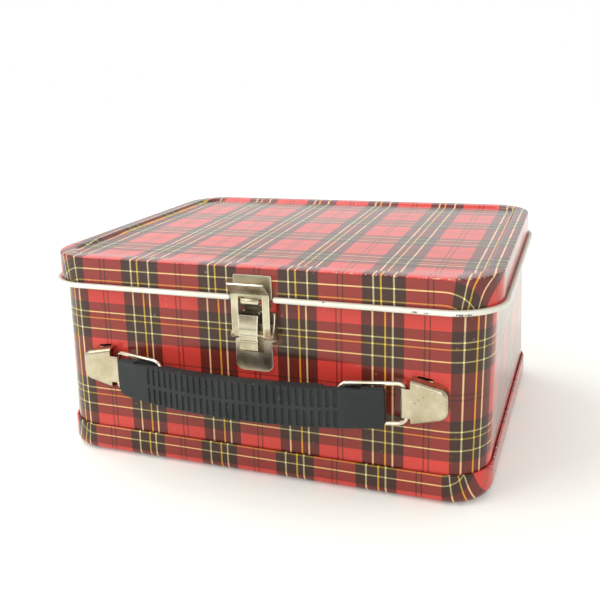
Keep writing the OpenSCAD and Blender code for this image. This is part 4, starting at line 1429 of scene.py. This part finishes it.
# %% [markdown]
# The grip is moulded in one piece. Its front is a long shallow arch with two rows of upright grooves
# between smooth ends, and its back is thick in the middle and thin over the two slots. It could be sculpted
# from a block. Short rules for how far each surface stands from the wall keep it exact and even.

# %% Rules of the grip
GRIP_X = -0.7
GRIP_Z = 46.5
GRIP_HALF = 67.0
GRIP_HIGH = 9.05
GRIP_OUT = 21.2
GRIP_THICK = 7.0
BOW_DEEP = 10.5
GRIP_BOW = (GRIP_HALF ** 2 + BOW_DEEP ** 2) / (2 * BOW_DEEP)
GROOVES = 29
GROOVE_DEEP = 0.75
RIB_HALF = 48.2
GROOVE_STEP = 2 * RIB_HALF / GROOVES
THICK_HALF = 39.5
SLOT_A = 41.5
SLOT_B = 56.7
SLOT_FRONT = 12.35
BLOCK_BACK = 9.2
END_BACK = 7.17


def grip_front(x):
    """Distance of the arched front from the wall."""
    return GRIP_OUT - GRIP_BOW + math.sqrt(GRIP_BOW ** 2 - x * x)


def grip_back(x):
    """Distance of the back from the wall: thick in the middle, thin at the slots, blocks at the ends."""
    x = abs(x)
    if x <= THICK_HALF:
        return grip_front(x) - GRIP_THICK
    if x <= SLOT_B + 0.3:
        return SLOT_FRONT
    return BLOCK_BACK + (END_BACK - BLOCK_BACK) * (x - SLOT_B) / (GRIP_HALF - SLOT_B)


def end_corner(x, radius):
    """How much a rounded end corner takes off the grip's height."""
    past = abs(x) - GRIP_HALF + radius
    return 0.0 if past <= 0 else radius - math.sqrt(max(0.0, radius ** 2 - past * past))


def groove(x, z):
    """How deep the grooves are pressed at a spot of the front. The upper row runs out over the top edge."""
    if abs(x) > RIB_HALF:
        return 0.0
    from_middle = abs((x + RIB_HALF) % GROOVE_STEP - GROOVE_STEP / 2)
    along = smooth(0.6, 1.1, z) if z > 0 else smooth(0.8, 1.3, -z) * (1 - smooth(8.1, 8.7, -z))
    return GROOVE_DEEP * along * (1 - smooth(0.45, 0.85, from_middle))


print("the grip's front stands", GRIP_OUT, "mm off the wall, its ends", round(grip_front(GRIP_HALF), 1))


# %% [markdown]
# The grooves could be a bump in the finish, but they show in the grip's outline, so they are real. Sections
# are set close together at the flanks of each groove, and wide apart where the surface is smooth.

# %% Handle grip
END_ROUND = 4.5
END_TOP = 1.4
END_RIGHT = 2.2
GROOVE_CUTS = (0.0, 0.12, 0.243, 0.28, 0.32, 0.364, 0.5, 0.636, 0.68, 0.72, 0.757, 0.88)
STEP_CUTS = (THICK_HALF, THICK_HALF + 0.3, SLOT_B + 0.3, SLOT_B + 0.6, RIB_HALF)
FRONT_ROWS = (8.0, 6.5, 5.0, 3.5, 2.0, 1.1, 0.85, 0.6, 0.0,
              -0.4, -0.8, -1.05, -1.3, -2.2, -3.6, -5.0, -6.4, -7.6, -8.1)
smooth_end = GRIP_HALF - END_ROUND - RIB_HALF
grip_stops = [END_ROUND * (1 - math.cos(math.pi / 2 * t / 9)) - GRIP_HALF for t in range(10)]
grip_stops += [END_ROUND - GRIP_HALF + smooth_end * t / 8 for t in range(1, 8)]
grip_stops += [-x for x in STEP_CUTS]
grip_stops += [-x for x in grip_stops]
grip_stops += [GROOVE_STEP * (n + f) - RIB_HALF for n in range(GROOVES) for f in GROOVE_CUTS]
grip_stops = sorted({round(x, 3) for x in grip_stops})
grip = new_mesh()
worn = grip.verts.layers.float["edge"]
sections = []
for x in grip_stops:
    front = grip_front(x)
    back = grip_back(x)
    soft = min(0.7, 0.3 * (front - back))
    high = GRIP_HIGH - end_corner(x, END_TOP) - soft
    low = GRIP_HIGH - end_corner(x, END_ROUND if x < 0 else END_RIGHT) - soft
    top_edge = arc(front - soft, high, soft, 90, 20, 4)
    rows = [(front, z * (high if z > 0 else low) / (GRIP_HIGH - 0.6)) for z in FRONT_ROWS]
    foot_edge = arc(front - soft, -low, soft, -20, -90, 4)
    outline = [(back, high)] + arc(back + soft, high, soft, 150, 90, 2)
    outline += [(out - groove(x, z), z) for out, z in top_edge + rows + foot_edge]
    outline += arc(back + soft, -low, soft, -90, -150, 2) + [(back, -low)]
    section = [grip.verts.new((GRIP_X + x, FRONT - out, GRIP_Z + z)) for out, z in outline]
    # The front's top and bottom edges are marked for scuffs, which also paint their highlight.
    for vert in section[4:10] + section[-9:-4]:
        vert[worn] = 1.0
    sections.append(section)
bridge(grip, sections)
print("the grip has", len(sections), "sections and", GROOVES, "grooves in each row")


# %% [markdown]
# A strap behind each end closes the slot, so the loop's inner bar can't fall out. It is low beside the
# thick middle and full height toward the end. On the real grip it is moulded on. Here two flat slabs that
# run into the grip are enough, because the joint lies behind it.

# %% Straps of the grip
STRAP_BACK = 5.95
STRAP_FRONT = STRAP_BACK + 2
STRAP_MID = 46.5
BAR_FRONT = SLOT_FRONT + 0.3
STRAP_INNER = THICK_HALF + 0.2
LOW_STRAP_Z = (41.5, 50.2)
TALL_STRAP_Z = (39.7, 54.9)
low_strap = [(STRAP_INNER, BAR_FRONT), (STRAP_INNER, STRAP_BACK), (STRAP_MID, STRAP_BACK),
             (STRAP_MID, STRAP_FRONT), (SLOT_A, STRAP_FRONT), (SLOT_A, BAR_FRONT)]
tall_strap = [(STRAP_MID, STRAP_BACK), (SLOT_B + 2, STRAP_BACK), (SLOT_B + 2, 9.3), (SLOT_B + 0.6, 9.5),
              (SLOT_B, 9.3), (SLOT_B, STRAP_FRONT), (STRAP_MID, STRAP_FRONT)]
straps = new_mesh()
for side in (-1, 1):
    def strap_place(x, out, z):
        return GRIP_X + side * x, FRONT - out, z

    slab(straps, low_strap, *LOW_STRAP_Z, strap_place)
    slab(straps, tall_strap, *TALL_STRAP_Z, strap_place)
soften(straps, 0.3)
merge_into(grip, straps)
place_piece("handle_grip_moulding", grip, "grip", (plastic,), ("handle_grip",), 38)


# %% [markdown]
# The hinges are hidden behind the tin in the photograph. They are drawn as plain strip hinges: a leaf on
# the lid with one knuckle, a leaf on the wall with two, both curled round a pin. Both leaves share one set
# of columns, so the knuckles mesh with a small gap. The pins and rivets are plain enough to stay as solids.

# %% Hinges
HINGE_OUT = 5.46
HINGE_Z = 88.6
KNUCKLE_MID = 1.46
LEAF_HALF = 15.0
CUTS = (-LEAF_HALF, -5.236, -4.886, 4.886, 5.236, LEAF_HALF)
WALL_CURL_ROWS = 15
LID_CURL_ROWS = 14
WALL_LEAF = arc(HINGE_OUT, HINGE_Z, KNUCKLE_MID, 160, -130, 14)
WALL_LEAF += [(1.2, 84.6), (0.6, 83.6), (0.4, 82.9), (0.4, 67.4)]
LID_LEAF = arc(HINGE_OUT, HINGE_Z, KNUCKLE_MID, -110, 140, 12)
LID_LEAF += [(LID_OUT + 0.6, 90.4), (LID_OUT + 0.4, 91.06), (LID_OUT + 0.4, 91.8), (LID_OUT + 0.4, 101.2)]


def hinge_leaf(name, side, body, path, metal, node):
    """One leaf of a hinge, curled round its pin."""
    leaf = new_mesh()
    bent_sheet(leaf, [side * HINGE_X + c for c in CUTS], path, LATCH_T, metal, on_back)
    soften(leaf, 0.18)
    place_piece(name, leaf, body, (hinge_steel,), (node,))


def wall_metal(i, j):
    """The wall's leaf has the two outer knuckles."""
    return i in (0, 4) or j >= WALL_CURL_ROWS


def lid_metal(i, j):
    """The lid's leaf has the middle knuckle."""
    return i == 2 or j >= LID_CURL_ROWS


for hand, side in (("left", -1), ("right", 1)):
    hinge_leaf("hinge_wall_leaf_" + hand, side, "box", WALL_LEAF, wall_metal, "hinge_body_leaf_" + hand)
    hinge_leaf("hinge_lid_leaf_" + hand, side, "lid", LID_LEAF, lid_metal, "hinge_lid_leaf_" + hand)
for node in ("latch_rivets", "hinge_pin_left", "hinge_pin_right", "hinge_rivets_body", "hinge_rivets_lid"):
    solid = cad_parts[node]
    solid.data.materials.clear()
    solid.data.materials.append(nickel if node.startswith("latch") else hinge_steel)
print("pins and rivets keep their plain shape and wear", nickel.name, "or", hinge_steel.name)


# %% [markdown]
# The tin stood on white paper. More lamps would make the paper white and wash out the tin with it, so the
# paper glows a little instead, and only for rays that come from the camera or from a mirror. It still takes
# the tin's shadow. Away from the tin it glows more and turns white, and near the tin it is a little darker
# and greener, which offsets the red light the tin throws onto it.

# %% Paper floor
def rays_that_see(tree):
    """One for rays from the camera, and for rays mirrored by or passing through something."""
    kinds = put(tree, "LightPath").outputs
    seen = calc(tree, "MAXIMUM", kinds["Is Camera Ray"], kinds["Is Glossy Ray"])
    return calc(tree, "MAXIMUM", seen, kinds["Is Transmission Ray"]), kinds["Is Camera Ray"]


WHITE = (1.0, 1.0, 1.0, 1.0)
paper, tree, shader = new_finish("white_paper")
spot = put(tree, "TexCoord").outputs["Object"]
distance = put(tree, "VectorMath", {0: spot}, operation="LENGTH").outputs["Value"]
far = ramp_between(tree, distance, 0.3, 0.7)
# Near the tin the paper is tinted a little darker and greener to offset the red light bounced from the tin;
# far off it is white.
paper_near_tin = blend(tree, noise_at(tree, 900.0, 2.0, spot), ink(238, 241, 232), ink(244, 247, 238))
seen = rays_that_see(tree)[0]
lift = calc(tree, "MULTIPLY", seen, calc(tree, "MULTIPLY_ADD", far, 0.1, 0.2))
feed(shader, {"Base Color": blend(tree, far, paper_near_tin, ink(250, 250, 250)), "Roughness": 0.9,
              "Emission Color": WHITE, "Emission Strength": lift})
ground = bmesh.new()
bmesh.ops.create_grid(ground, x_segments=4, y_segments=4, size=3.0)
ground_data = bpy.data.meshes.new("paper")
ground.to_mesh(ground_data)
ground.free()
ground_data.materials.append(paper)
floor = add_object("paper_floor", ground_data)
floor.location.z = -0.0002
print("floor:", floor.name, "in", paper.name)


# %% [markdown]
# The light was soft and came from the upper left, in a bright room that grows darker toward the camera and
# to the right. That darker side is what gives the metal its contrast. An image of a room could light the
# tin as well. Two soft steps over the sky's direction are enough, with three lamps for the shadows.

# %% Room and lamps
room = bpy.data.worlds.new("bright_room")
room.use_nodes = True
bpy.context.scene.world = room
tree = room.node_tree
heading = put(tree, "SeparateXYZ", {0: put(tree, "TexCoord").outputs["Generated"]}).outputs
tinted = blend(tree, ramp_between(tree, heading[1], -0.9, 0.1), (0.6, 0.59, 0.57, 1.0), WHITE)
shaded = blend(tree, 1.0, tinted, (0.78, 0.78, 0.78, 1.0), "MULTIPLY")
tinted = blend(tree, ramp_between(tree, heading[0], 0.1, 0.9), tinted, shaded)
seen, from_camera = rays_that_see(tree)
feed(tree.nodes["Background"], {"Color": blend(tree, from_camera, tinted, WHITE),
                                "Strength": calc(tree, "MULTIPLY_ADD", seen, 0.08, 0.92)})


def soft_light(name, place, power, size):
    """A square soft light aimed at the tin."""
    lamp = bpy.data.lights.new(name, "AREA")
    lamp.energy = power
    lamp.size = size
    holder = add_object(name, lamp)
    holder.location = place
    holder.rotation_euler = (Vector((0, -0.03, 0.05)) - Vector(place)).to_track_quat("-Z", "Y").to_euler()


soft_light("upper_left_light", (-0.7, -0.6, 0.95), 6.5, 0.8)
soft_light("overhead_light", (-0.5, 0.3, 1.0), 3.0, 0.6)
soft_light("front_fill", (0.35, -1.1, 0.5), 3.0, 0.7)
bpy.context.scene.view_settings.view_transform = "Standard"
